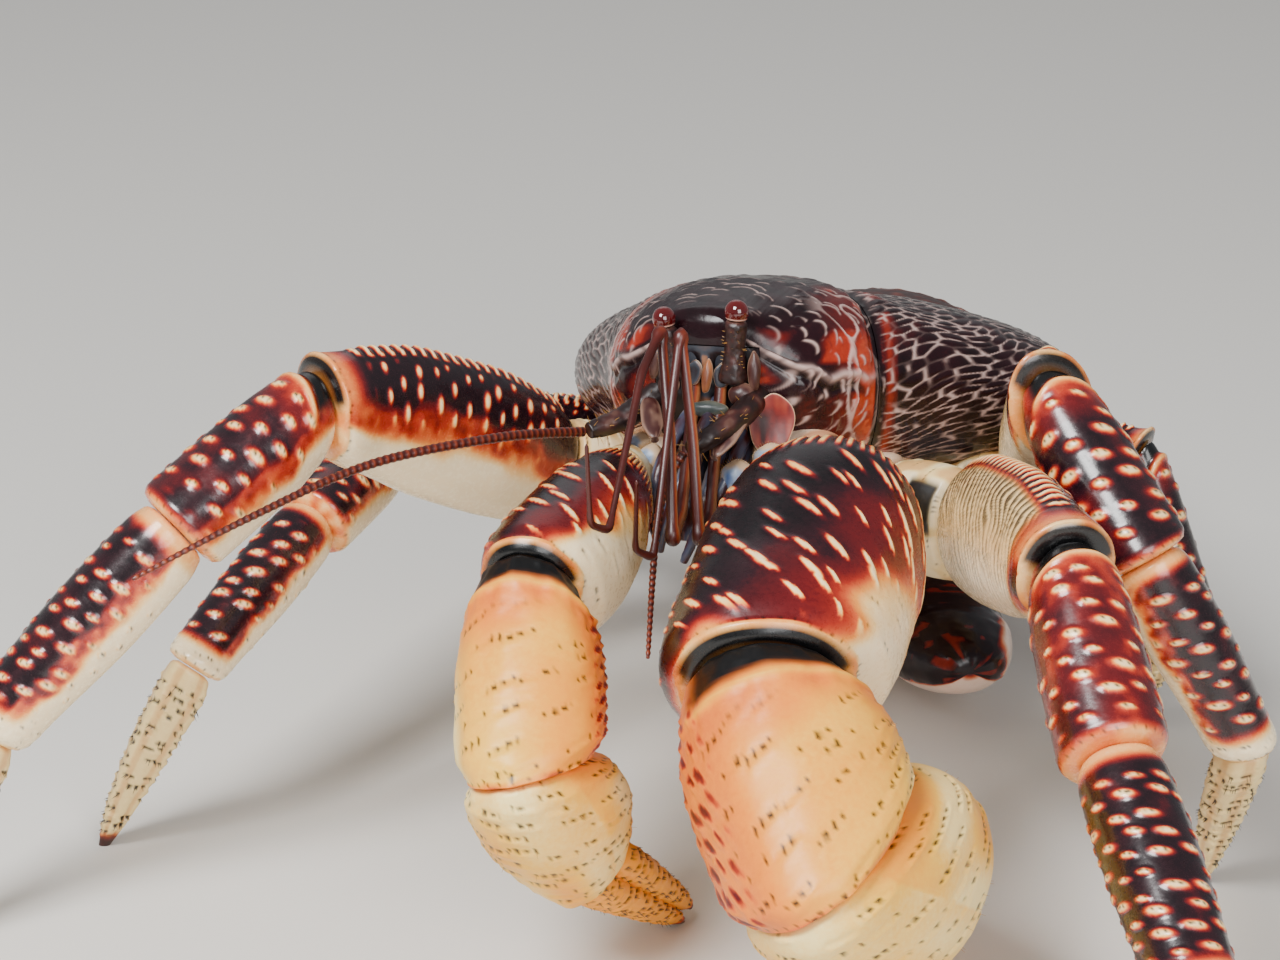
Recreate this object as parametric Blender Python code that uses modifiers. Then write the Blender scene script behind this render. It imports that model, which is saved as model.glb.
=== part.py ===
"""Coconut crab, life size, standing still on its legs, claw tips and abdomen.

Metres, +Z up. The crab faces -Y and its left side is +X. The origin is the middle
of the flat under the abdomen, on the floor. Sizes below are in millimetres and
degrees. Places on the body are in its own frame, which has its origin midway
between the eyes, X to the crab's left, Y to its tail and Z to its back.
"""

import math

import bmesh
import bpy
from mathutils import Matrix, Vector

MM = 0.001
GAP = 0.3

# How the body is held.
EYES_MIDDLE = Vector((0, -150, 140))
HEAD_UP = 15.0
LEFT_SIDE_UP = 4.5

# The carapace and thorax before they are parted: place along the back, half width,
# height of the back and height of the underside.
BODY_STATIONS = (
    (3, 6, 0, -6),
    (6, 16, 2, -22),
    (11, 25, 3, -33),
    (22, 33, 6, -40),
    (36, 39, 8, -45),
    (50, 47, 8, -48),
    (64, 58, 5, -49),
    (78, 67, 4, -49),
    (92, 72, 2, -49),
    (106, 71, 0, -47),
    (118, 62, -3, -42),
    (127, 46, -7, -34),
    (131, 30, -11, -28),
)
BODY_SIDES = 34
BODY_SQUARENESS = 2.2
SHIELD_REAR = 62.0
SHIELD_CURVE = 0.022
FURROW_DEPTH = 2.4
FURROW_WIDTH = 5.0
FURROW_REACH = 50.0
HEART_FRONT_HALF_WIDTH = 15.0
HEART_SPREAD = 0.10
ARCH_MIDDLE = -27.0
ARCH_DROP = 21.0
ARCH_HALF_WIDTH = 54.0
ARCH_STEEPEST = 1.6
FACE_DEPTH = 12.0
FACE_TOP = -7.8
FACE_HALF_WIDTH = 14.0
FACE_FRONT = -20.0
CUT_TOP = 30.0
CUT_BESIDE = 84.0
CUT_BEHIND = 80.0
SHELL_PLACES = {
    "shield": ((0, 30, -10), "carapace"),
    "heart": ((0, 95, -8), "carapace"),
    "lobe_left": ((48, 85, -18), "carapace"),
    "lobe_right": ((-48, 85, -18), "carapace"),
    "thorax": ((0, 70, -42), "thorax"),
    "face": ((0, 4, -18), "face"),
}

# The abdomen rests on the floor behind the thorax.
SAC_MIDDLE = Vector((0, 0, 46))
SAC_HALF = Vector((50, 45, 48))
SAC_RINGS = 13
SAC_SIDES = 26
PLATE_THICKNESS = 2.6
PLATE_REACH = 66.0
PLATE_EDGES = (72, 108, 144, 180, 214)
PLATE_GAP = 1.0
PLATE_COLUMNS = 12
PLATE_ROWS = 4
TAIL_FROM = Vector((19, -34, 20))
TAIL_TO = Vector((57, -92, 26))
TAIL_PROFILE = (
    (0.0, 20, 13, 0),
    (0.3, 20, 14, 0),
    (0.7, 17, 12, 0),
    (0.92, 11, 8, 0),
    (1.0, 5, 4, 0),
)

# Each limb: root on the body, then its segments with their length, azimuth from
# straight ahead towards the limb's own side, and elevation. The last one's
# elevation is worked out, so that its tip stands on the floor.
LEGS = {
    "leg_1_left": ((34, 47, -50), (("ischium", 30, 64, 5), ("merus", 88, 32, 16),
                   ("carpus", 49, 33, -36), ("propodus", 64, 35, -28), ("dactyl", 60, 32, None))),
    "leg_2_left": ((40, 72, -52), (("ischium", 26.3, 112.7, 12.1), ("merus", 80, 18.7, 36.5),
                   ("carpus", 46.3, 57.2, -39), ("propodus", 54.7, 107.7, -61.3),
                   ("dactyl", 56.2, 210.6, None))),
    "leg_3_left": ((36, 112, -54), (("merus", 62.5, 72, 25), ("carpus", 40.9, 82.4, -68.3),
                   ("hand", 60.1, 218.9, None))),
    "leg_1_right": ((-34, 47, -50), (("ischium", 28, 36, 21), ("merus", 81, 30, 26),
                    ("carpus", 48, 28, -27), ("propodus", 68, 52, -45), ("dactyl", 60, 36, None))),
    "leg_2_right": ((-38, 72, -54), (("ischium", 28, 135, -4), ("merus", 68.4, 46, 13.5),
                    ("carpus", 44.8, 5, -9.6), ("propodus", 53.7, 13.2, -26),
                    ("dactyl", 55.4, 62.4, None))),
    "leg_3_right": ((-36, 112, -54), (("merus", 60, 100, 6), ("carpus", 41, 150, -72),
                    ("hand", 58, -25, None))),
}
CLAWS = {
    "claw_left": ((30, 20, -45), (("ischium", 32, 17.4, 13), ("merus", 68.5, 6.1, -14.4),
                  ("carpus", 43.3, 42.7, -35.2), ("palm", 55, 167.5, -33), ("finger", 50, 200, None))),
    "claw_right": ((-24, 20, -44), (("ischium", 28, -12, 11), ("merus", 57, -1, -3),
                   ("carpus", 46, -23, -38), ("palm", 41, -165, -59), ("finger", 46, -162, None))),
}

# Along each segment: place from 0 to 1, half width, half height and lift.
LEG_PROFILES = {
    "coxa": ((0.0, 9, 11, 0), (0.6, 11, 13, 0), (1.0, 11, 13, 0)),
    "ischium": ((0.0, 10, 12, 0), (0.25, 11.5, 14, 0), (0.7, 11, 15, 0), (1.0, 10, 14, 0)),
    "merus": ((0.0, 8.5, 13, 0), (0.12, 10, 16.5, 1), (0.35, 11, 18.5, 2), (0.6, 11, 18, 2),
              (0.82, 11, 15, 1), (0.95, 12, 13, 0), (1.0, 11, 11.5, 0)),
    "carpus": ((0.0, 8.5, 9, 0), (0.12, 10.5, 11, 0), (0.4, 12, 12.5, 0), (0.8, 12.5, 12.5, 0),
               (0.94, 12.5, 12.5, 0), (1.0, 10.5, 11, 0)),
    "propodus": ((0.0, 8.5, 9, 0), (0.1, 10, 10.5, 0), (0.4, 10.5, 11, 0), (0.85, 9.5, 9.5, 0),
                 (0.95, 9.3, 9.3, 0), (1.0, 7.5, 8, 0)),
    "dactyl": ((0.0, 6, 6.5, 0), (0.12, 7, 7.5, 0), (0.4, 6.2, 6.8, 0.6), (0.7, 4.4, 5, 0.8),
               (0.9, 2.6, 3, 0.4), (1.0, 1.3, 1.6, 0)),
}
CLAW_PROFILES = {
    "coxa": ((0.0, 10, 11, 0), (0.6, 12, 13, 0), (1.0, 12, 13, 0)),
    "ischium": ((0.0, 12, 13, 0), (0.4, 14, 16, 0), (1.0, 15, 18, 0)),
    "merus": ((0.0, 15, 18, 0), (0.15, 20, 22, 0), (0.4, 25, 26, -1), (0.65, 27, 27, -2),
              (0.86, 26, 26, -2), (1.0, 18, 20, 0)),
    "broad_merus": ((0.0, 17, 19, 0), (0.06, 21, 23, 0), (0.18, 25, 26, 0), (0.4, 27, 27, -1),
                    (0.65, 27, 27, -2), (0.86, 26, 26, -2), (1.0, 18, 20, 0)),
    "carpus": ((0.0, 17, 19, 0), (0.15, 21, 22, 0), (0.5, 25, 24, 0), (0.85, 25, 24, 0),
               (1.0, 20, 20, 0)),
    "slim_palm": ((0.0, 18, 20, 0), (0.15, 22, 25, 0), (0.4, 23.5, 26.5, 0), (0.7, 19.5, 23, 0),
                  (0.9, 15, 19, 0), (1.0, 12.5, 16.5, 0)),
    "palm": ((0.0, 18, 20, 0), (0.15, 23, 25, 0), (0.45, 26, 28, 0), (0.72, 24, 26, 0),
             (0.9, 18, 21, 0), (1.0, 14, 17, 0)),
}
HAND_PROFILE = (
    (0.0, 6.5, 7, 0),
    (0.15, 8.5, 9.5, 0),
    (0.5, 9, 10.5, 0),
    (0.72, 7, 8.5, 0),
    (0.9, 4, 4.5, 0),
    (1.0, 2.2, 2.6, 0),
)
FINGER_PROFILE = (
    (0.0, 0.42, 0.42, 0.0),
    (0.12, 0.46, 0.46, 0.0),
    (0.45, 0.38, 0.40, 0.0),
    (0.8, 0.22, 0.26, 0.0),
    (0.94, 0.12, 0.14, 0.0),
    (1.0, 0.05, 0.06, 0.0),
)
SEGMENT_SIZE = {
    "leg_1_left": 1.0,
    "leg_1_right": 1.0,
    "leg_2_left": 0.90,
    "leg_2_right": 0.85,
    "leg_3_left": 0.52,
    "leg_3_right": 0.50,
    "claw_left": 1.0,
    "claw_right": 0.70,
}
CLAW_RIGHT_ARM_WIDTH = 0.82
LIMB_SIDES = 14
COXA_INSET = 0.45
COXA_START = -36.0
TIP_SPREAD = 7.0
FINGER_SPACING = 0.5
FINGER_SUNK = 8.0
FLOOR = Vector((0, 0, -1))

# The head's small parts, in the body's frame.
EYE_PLACE = Vector((9.7, 0, 0))
EYE_RISE = {"left": 1.2, "right": -1.4}
EYE_BASE = 2.6
EYE_TOP = 3.2
EYE_PROFILE = ((0.0, 2.2, 2.2, 0), (0.2, 2.8, 2.7, 0), (0.5, 3.1, 2.9, 0), (0.78, 2.5, 2.3, 0),
               (0.94, 1.4, 1.3, 0), (1.0, 0.6, 0.6, 0))
STALK_ROOT = Vector((8.0, 3.5, -17))
STALK_PROFILE = ((0.0, 2.6, 2.6, 0), (0.5, 2.6, 2.8, 0), (0.85, 2.5, 2.6, 0), (1.0, 1.9, 1.9, 0))

# Feelers and mouth legs, by points chosen along them in the world, with the
# radius at points spread evenly from root to tip.
FEELERS = {
    "antennule_right": (
        ((-2, -147, 123), (6, -178, 98), (10.5, -195, 98), (5, -183, 120), (-3, -169, 142),
         (-2, -184, 136), (4.6, -221, 110), (2, -226, 113), (2, -228, 134)),
        (1.6, 1.5, 1.4, 1.4, 1.2, 1.0, 0.7, 0.5), 6, 40, "feeler"),
    "antennule_left": (
        ((5, -147, 125), (12, -174, 96), (14, -186, 95), (9, -178, 118), (3, -171, 143),
         (4, -178, 132), (9, -204, 97), (6, -208, 100), (8, -212, 120)),
        (1.6, 1.5, 1.4, 1.4, 1.2, 1.0, 0.7, 0.5), 6, 40, "feeler"),
    "antenna_base_right": (((-10, -144, 119), (-18, -154, 112), (-25, -163, 110)),
                           (3.0, 3.2, 3.0, 2.6, 2.0), 8, 6, "stalk"),
    "antenna_base_left": (((15, -145, 120), (14, -162, 118), (7, -175, 114)),
                          (3.0, 3.2, 3.0, 2.6, 2.0), 8, 6, "stalk"),
    "antenna_right": (
        ((-26, -164, 110), (-38, -190, 116), (-58, -220, 117), (-75, -250, 112), (-92, -276, 104)),
        (1.3, 1.2, 1.1, 0.9, 0.5), 6, 24, "feeler"),
    "antenna_left": (
        ((6.2, -176.5, 113.7), (3.5, -181, 107.5), (5, -191, 101), (8.5, -203, 91.5), (15.5, -223.5, 80)),
        (1.2, 1.1, 1.0, 0.8, 0.5), 6, 24, "feeler"),
    "mouth_leg_right": (((0, -145, 108), (0, -158, 94), (1, -163, 84)), (4.0, 4.2, 3.4, 2.0), 8, 7, "mouth"),
    "mouth_leg_left": (((9, -145, 108), (11, -158, 93), (10, -164, 81)), (4.0, 4.2, 3.4, 2.0), 8, 7, "mouth"),
}

# The leaf-shaped scale on each antenna's base, from its root to its tip in the world.
SCALES = {
    "antenna_base_right": (Vector((-13, -152, 117)), Vector((-6.5, -164, 110.5))),
    "antenna_base_left": (Vector((15.5, -158, 120)), Vector((12.5, -172.5, 111.5))),
}
SCALE_PROFILE = ((0.0, 1.5, 1.0, 0), (0.25, 2.6, 1.1, 0), (0.6, 2.8, 0.9, 0), (0.85, 1.7, 0.7, 0),
                 (1.0, 0.6, 0.5, 0))
SCALE_SIDES = 10

COLOURS = {
    "carapace": (0.055, 0.012, 0.016),
    "face": (0.20, 0.16, 0.17),
    "thorax": (0.62, 0.45, 0.33),
    "abdomen": (0.10, 0.03, 0.04),
    "skin": (0.42, 0.30, 0.26),
    "leg": (0.14, 0.025, 0.02),
    "leg_pale": (0.72, 0.52, 0.34),
    "claw_arm": (0.16, 0.03, 0.02),
    "claw": (0.80, 0.50, 0.30),
    "eye": (0.09, 0.004, 0.004),
    "stalk": (0.05, 0.02, 0.02),
    "feeler": (0.17, 0.03, 0.02),
    "mouth": (0.30, 0.20, 0.22),
}


def body_matrix():
    roll = Matrix.Rotation(math.radians(-LEFT_SIDE_UP), 4, "Y")
    pitch = Matrix.Rotation(math.radians(-HEAD_UP), 4, "X")
    return Matrix.Translation(EYES_MIDDLE) @ roll @ pitch


BODY = body_matrix()


def on_body(x, y, z):
    return BODY @ Vector((x, y, z))


def clear_scene():
    for scene_object in list(bpy.data.objects):
        bpy.data.objects.remove(scene_object, do_unlink=True)


def new_collection(name):
    group = bpy.data.collections.new(name)
    bpy.context.scene.collection.children.link(group)
    return group


def material(name):
    if name in bpy.data.materials:
        return bpy.data.materials[name]
    made = bpy.data.materials.new(name)
    made.use_nodes = True
    shader = made.node_tree.nodes["Principled BSDF"]
    shader.inputs["Base Color"].default_value = (*COLOURS[name], 1.0)
    shader.inputs["Roughness"].default_value = 0.12 if name == "eye" else 0.38
    shader.inputs["Metallic"].default_value = 0.0
    made.diffuse_color = (*COLOURS[name], 1.0)
    return made


def finish(name, bm, group, colour):
    """Closes a bmesh that holds millimetres into an object in metres."""
    bmesh.ops.recalc_face_normals(bm, faces=bm.faces)
    if bm.calc_volume(signed=True) < 0:
        bmesh.ops.reverse_faces(bm, faces=bm.faces)
    bmesh.ops.scale(bm, vec=(MM, MM, MM), verts=bm.verts)
    mesh = bpy.data.meshes.new(name)
    bm.to_mesh(mesh)
    bm.free()
    mesh.materials.append(material(colour))
    mesh.shade_smooth()
    mesh.set_sharp_from_angle(angle=math.radians(50))
    made = bpy.data.objects.new(name, mesh)
    group.objects.link(made)
    return made


def at(stations, t):
    """The sizes of a list of stations at t, in a straight line between them."""
    for before, after in zip(stations, stations[1:]):
        if t <= after[0]:
            part = (t - before[0]) / (after[0] - before[0])
            return [a + (b - a) * part for a, b in zip(before[1:], after[1:])]
    return list(stations[-1][1:])


def squared(value, squareness):
    return math.copysign(abs(value) ** (2 / squareness), value)


def loft(name, place, steps, sides, group, colour):
    """A sphere whose rings are moved on to place(step, cosine, sine)."""
    bm = bmesh.new()
    rings = len(steps)
    bmesh.ops.create_uvsphere(bm, u_segments=sides, v_segments=rings + 1, radius=1.0)
    for vert in bm.verts:
        polar = math.acos(max(-1.0, min(1.0, vert.co.z)))
        ring = round(polar / math.pi * (rings + 1))
        step = steps[max(0, min(rings - 1, ring - 1))]
        if ring in (0, rings + 1):
            vert.co = place(step, 0.0, 0.0)
        else:
            around = math.atan2(vert.co.y, vert.co.x)
            vert.co = place(step, math.cos(around), math.sin(around))
    return finish(name, bm, group, colour)


class Segment:
    """A length of limb between two planes, each shared with its neighbour."""

    def __init__(self, start, end, start_plane, end_plane, profile, size=1.0, side=None,
                 squareness=2.2, on_floor=False):
        self.start = start
        self.end = end
        self.along = (end - start).normalized()
        self.start_plane = start_plane or self.along
        self.end_plane = end_plane or self.along
        flat = Vector((self.along.y, -self.along.x, 0))
        self.side = (side or flat).normalized()
        self.up = self.side.cross(self.along).normalized()
        if self.up.z < 0:
            self.up = -self.up
        self.profile = profile
        self.size = size
        self.squareness = squareness
        self.on_floor = on_floor

    def place(self, grow=0.0):
        clear = GAP / 2 if grow == 0 else -grow
        start_clear = clear / self.along.dot(self.start_plane)
        end_clear = 0.0 if self.on_floor else clear / self.along.dot(self.end_plane)

        def found(t, cosine, sine):
            half_width, half_height, lift = (value * self.size for value in at(self.profile, t))
            across = self.side * (half_width + grow) * squared(cosine, self.squareness)
            rise = self.up * ((half_height + grow) * squared(sine, self.squareness) + lift)
            offset = across + rise
            lean_start = -offset.dot(self.start_plane) / self.along.dot(self.start_plane) + start_clear
            lean_end = -offset.dot(self.end_plane) / self.along.dot(self.end_plane) - end_clear
            centre = self.start.lerp(self.end, t)
            return centre + offset + self.along * ((1 - t) * lean_start + t * lean_end)

        return found

    def build(self, name, group, colour, sides=LIMB_SIDES, grow=0.0):
        steps = [station[0] for station in self.profile]
        return loft(name, self.place(grow), steps, sides, group, colour)


def direction(side, azimuth, elevation):
    azimuth = math.radians(azimuth)
    elevation = math.radians(elevation)
    flat = math.cos(elevation)
    return Vector((side * math.sin(azimuth) * flat, -math.cos(azimuth) * flat, math.sin(elevation)))


def joints_of(root, segments):
    """The points between a limb's segments, from its root to its tip on the floor."""
    side = 1 if root[0] > 0 else -1
    points = [on_body(*root)]
    for name, length, azimuth, elevation in segments:
        last = elevation is None or name == segments[-1][0]
        if last:
            drop = points[-1].z / length
            elevation = -math.degrees(math.asin(min(0.99, drop)))
        points.append(points[-1] + direction(side, azimuth, elevation) * length)
    points[-1].z = 0.0
    return points


def planes_of(points):
    """The plane shared at each joint halves the bend there."""
    runs = [(b - a).normalized() for a, b in zip(points, points[1:])]
    return [(a + b).normalized() for a, b in zip(runs, runs[1:])]


def boolean(target, tools, operation, solver="EXACT"):
    """Joins or cuts with the tools, then removes them and keeps the largest closed surface."""
    group = bpy.data.collections.new("tools")
    for tool in tools:
        group.objects.link(tool)
    bpy.context.scene.collection.children.link(group)
    modifier = target.modifiers.new(operation.title(), "BOOLEAN")
    modifier.operation = operation
    modifier.operand_type = "COLLECTION"
    modifier.collection = group
    modifier.solver = solver
    bpy.context.view_layer.update()
    graph = bpy.context.evaluated_depsgraph_get()
    mesh = bpy.data.meshes.new_from_object(target.evaluated_get(graph))
    target.modifiers.remove(modifier)
    target.data = mesh
    for tool in tools:
        bpy.data.objects.remove(tool, do_unlink=True)
    bpy.data.collections.remove(group)
    return target


def closed_surfaces(mesh):
    """The separate surfaces of a mesh, each a bmesh with its volume, largest first."""
    whole = bmesh.new()
    whole.from_mesh(mesh)
    whole.faces.ensure_lookup_table()
    left = set(range(len(whole.faces)))
    found = []
    while left:
        stack = [left.pop()]
        island = set(stack)
        while stack:
            for edge in whole.faces[stack.pop()].edges:
                for face in edge.link_faces:
                    if face.index in left:
                        left.discard(face.index)
                        island.add(face.index)
                        stack.append(face.index)
        part = whole.copy()
        part.faces.ensure_lookup_table()
        others = [face for face in part.faces if face.index not in island]
        bmesh.ops.delete(part, geom=others, context="FACES")
        found.append((abs(part.calc_volume()), part))
    whole.free()
    found.sort(key=lambda pair: -pair[0])
    return [part for _, part in found]


def keep_largest(target):
    parts = closed_surfaces(target.data)
    parts[0].to_mesh(target.data)
    for part in parts:
        part.free()
    target.data.shade_smooth()
    target.data.set_sharp_from_angle(angle=math.radians(50))


def body_place(grow=0.0):
    """Places on the whole carapace and thorax, with the furrows between its plates pressed in."""

    def place(station, cosine, sine):
        along, half_width, back, belly = station
        middle = (back + belly) / 2
        half_height = (back - belly) / 2 + grow
        x = (half_width + grow) * squared(cosine, BODY_SQUARENESS)
        rise = squared(sine, BODY_SQUARENESS)
        z = middle + half_height * rise
        if rise > 0 and grow == 0:
            z -= FURROW_DEPTH * furrow_at(x, along) * min(1.0, 2 * rise)
        if station == BODY_STATIONS[-1]:
            along += grow
        return on_body(x, along, z)

    return place


def furrow_at(x, along):
    """How near a furrow is, from 0 to 1."""
    from_furrow = (along - SHIELD_REAR + SHIELD_CURVE * x * x) / FURROW_WIDTH
    near = math.exp(-from_furrow * from_furrow)
    if along > SHIELD_REAR:
        heart_edge = HEART_FRONT_HALF_WIDTH + HEART_SPREAD * (along - SHIELD_REAR)
        from_heart = (abs(x) - heart_edge) / FURROW_WIDTH
        near = max(near, math.exp(-from_heart * from_heart))
    return near


def arch_height(x):
    return ARCH_MIDDLE - ARCH_DROP * min(ARCH_STEEPEST, (x / ARCH_HALF_WIDTH) ** 2)


def sheet(name, columns, rows, place, group):
    """A thin sheet, 0 to 1 both ways, for parting the shell."""
    bm = bmesh.new()
    bmesh.ops.create_grid(bm, x_segments=columns, y_segments=rows, size=1.0)
    for vert in bm.verts:
        vert.co = place((vert.co.x + 1) / 2, (vert.co.y + 1) / 2)
    return thickened(finish(name, bm, group, "face"), GAP)


def thickened(made, thickness):
    solidify = made.modifiers.new("Thickness", "SOLIDIFY")
    solidify.thickness = thickness * MM
    solidify.offset = 0
    bpy.context.view_layer.update()
    graph = bpy.context.evaluated_depsgraph_get()
    mesh = bpy.data.meshes.new_from_object(made.evaluated_get(graph))
    made.modifiers.clear()
    made.data = mesh
    return made


def along_path(path, t):
    run = t * (len(path) - 1)
    before = min(int(run), len(path) - 2)
    return Vector(path[before]).lerp(Vector(path[before + 1]), run - before)


def upright(path):
    """Places of a sheet that stands on the arch along a path seen from above."""

    def place(across, up):
        spot = along_path(path, across)
        low = arch_height(spot.x)
        return on_body(spot.x, spot.y, low + (CUT_TOP - low) * up)

    return place


def shell_cutters(group):
    furrow = [(-FURROW_REACH, -40)]
    for step in range(-14, 15):
        x = step * FURROW_REACH / 14
        furrow.append((x, SHIELD_REAR - SHIELD_CURVE * x * x))
    furrow.append((FURROW_REACH, -40))
    tools = [sheet("furrow_cut", len(furrow) - 1, 1, upright(furrow), group)]
    heart_front = SHIELD_REAR - SHIELD_CURVE * HEART_FRONT_HALF_WIDTH**2
    heart_rear_half_width = HEART_FRONT_HALF_WIDTH + HEART_SPREAD * CUT_BEHIND
    for side in (-1, 1):
        near = (side * HEART_FRONT_HALF_WIDTH, heart_front)
        far = (side * heart_rear_half_width, SHIELD_REAR + CUT_BEHIND)
        tools.append(sheet("heart_cut", 6, 1, upright([near, far]), group))

    def arch(across, back):
        x = (across - 0.5) * 2 * CUT_BESIDE
        return on_body(x, FACE_DEPTH + back * 2 * CUT_BEHIND, arch_height(x))

    def arch_beside_face(side):
        def place(across, back):
            x = side * (FACE_HALF_WIDTH + (CUT_BESIDE - FACE_HALF_WIDTH) * across)
            return on_body(x, FACE_FRONT + back * (FACE_DEPTH + GAP - FACE_FRONT), arch_height(x))
        return place

    half = FACE_HALF_WIDTH
    face_sides = [(-half, FACE_FRONT), (-half, FACE_DEPTH), (half, FACE_DEPTH), (half, FACE_FRONT)]

    def face_back(across, up):
        spot = along_path(face_sides, across)
        return on_body(spot.x, spot.y, FACE_TOP - CUT_BESIDE * (1 - up))

    def face_top(across, back):
        x = (across - 0.5) * 2 * (half + GAP / 2)
        return on_body(x, FACE_FRONT + (FACE_DEPTH + GAP / 2 - FACE_FRONT) * back, FACE_TOP)

    tools.append(sheet("arch_cut", 28, 1, arch, group))
    for side in (-1, 1):
        tools.append(sheet("arch_side_cut", 14, 1, arch_beside_face(side), group))
    tools.append(sheet("face_back_cut", 3, 1, face_back, group))
    tools.append(sheet("face_top_cut", 1, 1, face_top, group))
    return tools


def parted_shell(group):
    """The whole body, parted into shield, heart plate, two lobes, thorax and face."""
    whole = loft("body", body_place(), BODY_STATIONS, BODY_SIDES, group, "carapace")
    boolean(whole, shell_cutters(group), "DIFFERENCE")
    pieces = {}
    for part in closed_surfaces(whole.data):
        middle = sum((vert.co for vert in part.verts), Vector()) / len(part.verts)
        place = BODY.inverted() @ (middle / MM)
        free = [name for name in SHELL_PLACES if name not in pieces]
        if free:
            name = min(free, key=lambda known: (Vector(SHELL_PLACES[known][0]) - place).length)
            colour = SHELL_PLACES[name][1]
            mesh = bpy.data.meshes.new(name)
            part.to_mesh(mesh)
            mesh.materials.append(material(colour))
            mesh.shade_smooth()
            mesh.set_sharp_from_angle(angle=math.radians(50))
            pieces[name] = bpy.data.objects.new(name, mesh)
            group.objects.link(pieces[name])
        part.free()
    bpy.data.objects.remove(whole, do_unlink=True)
    return pieces


class Limb:
    """A leg or a claw: its coxa, then a segment for each named length."""

    def __init__(self, name, root, lengths, profiles):
        self.name = name
        self.size = SEGMENT_SIZE[name]
        self.side = 1 if root[0] > 0 else -1
        self.points = joints_of(root, lengths)
        self.names = [length[0] for length in lengths]
        self.profiles = profiles
        inner = on_body(root[0] * COXA_INSET, root[1], COXA_START)
        planes = planes_of([inner] + self.points)
        self.coxa = Segment(inner, self.points[0], None, planes[0], profiles["coxa"], self.size)
        self.segments = []
        for index, part in enumerate(self.names):
            last = index == len(self.names) - 1
            self.segments.append(Segment(
                self.points[index], self.points[index + 1], planes[index],
                FLOOR if last else planes[index + 1], profiles.get(part, HAND_PROFILE), self.size,
                on_floor=last,
            ))


def leg(name, group):
    limb = Limb(name, *LEGS[name], LEG_PROFILES)
    for part, segment in zip(limb.names, limb.segments):
        colour = "leg_pale" if part in ("ischium", "dactyl") else "leg"
        segment.build(f"{name}_{part}", group, colour)
    return limb


def narrowed(stations, factor):
    return tuple((t, wide * factor, tall, lift) for t, wide, tall, lift in stations)


def claw(name, group):
    """The arm, then the palm with its fixed finger, and the finger that closes on it."""
    profiles = dict(CLAW_PROFILES)
    if name == "claw_right":
        profiles["palm"] = profiles["slim_palm"]
        for part in ("ischium", "merus"):
            profiles[part] = narrowed(profiles[part], CLAW_RIGHT_ARM_WIDTH)
    else:
        profiles["merus"] = profiles["broad_merus"]
    limb = Limb(name, *CLAWS[name], profiles)
    for part, segment in zip(limb.names[:3], limb.segments[:3]):
        segment.build(f"{name}_{part}", group, "claw" if part == "carpus" else "claw_arm")
    hand = limb.segments[3]
    hand.end_plane = hand.along
    palm = hand.build(f"{name}_palm", group, "claw")
    width, height = (value * limb.size for value in limb.profiles["palm"][-1][1:3])
    profile = [(t, wide * width * 2, tall * height, lift) for t, wide, tall, lift in FINGER_PROFILE]
    sunk_start = hand.end - hand.up * height * FINGER_SPACING - hand.along * FINGER_SUNK * limb.size
    fixed = Segment(sunk_start, limb.points[-1], None, FLOOR, profile, 1.0, side=hand.side, on_floor=True)
    start = hand.end + hand.up * height * FINGER_SPACING
    tip = limb.points[-1] + hand.up * TIP_SPREAD * limb.size
    moving = Segment(start, tip, hand.along, None, profile, 1.0, side=hand.side)
    boolean(palm, [fixed.build("fixed_finger", group, "claw", sides=10)], "UNION")
    keep_largest(palm)
    finger = moving.build(f"{name}_finger", group, "claw", sides=10)
    boolean(finger, [fixed.build("clearance", group, "claw", sides=10, grow=GAP)], "DIFFERENCE")
    keep_largest(finger)
    return limb


def path_loft(name, points, radii, sides, group, colour, steps=None):
    """A round feeler along a smooth curve through the points."""
    count = steps or len(points)
    found = []
    for index in range(count):
        t = index / (count - 1)
        found.append((smooth_path(points, t), smooth_radius(radii, t)))
    frames = []
    side = Vector((1, 0, 0))
    for index in range(count):
        ahead = found[min(count - 1, index + 1)][0] - found[max(0, index - 1)][0]
        ahead.normalize()
        side = (side - ahead * side.dot(ahead)).normalized()
        frames.append((found[index][0], found[index][1], side.copy(), ahead.cross(side)))

    def place(frame, cosine, sine):
        middle, radius, across, over = frame
        return middle + (across * cosine + over * sine) * radius

    return loft(name, place, frames, sides, group, colour)


def smooth_path(points, t):
    """A Catmull-Rom curve through the points."""
    run = t * (len(points) - 1)
    index = min(int(run), len(points) - 2)
    part = run - index
    before = points[max(0, index - 1)]
    start = points[index]
    end = points[index + 1]
    after = points[min(len(points) - 1, index + 2)]
    return 0.5 * (
        2 * start
        + (end - before) * part
        + (2 * before - 5 * start + 4 * end - after) * part**2
        + (3 * start - before - 3 * end + after) * part**3
    )


def smooth_radius(radii, t):
    run = t * (len(radii) - 1)
    index = min(int(run), len(radii) - 2)
    return radii[index] + (radii[index + 1] - radii[index]) * (run - index)


def sac_place(grow=0.0):
    half = SAC_HALF + Vector((grow, grow, grow))

    def place(ring, cosine, sine):
        if cosine == 0 and sine == 0:
            ring = round(ring)
        polar = math.pi * ring
        flat = math.sin(polar)
        spot = SAC_MIDDLE + Vector((half.x * math.cos(polar), half.y * flat * cosine, half.z * flat * sine))
        spot.z = max(spot.z, -grow)
        return spot

    return place


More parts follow.
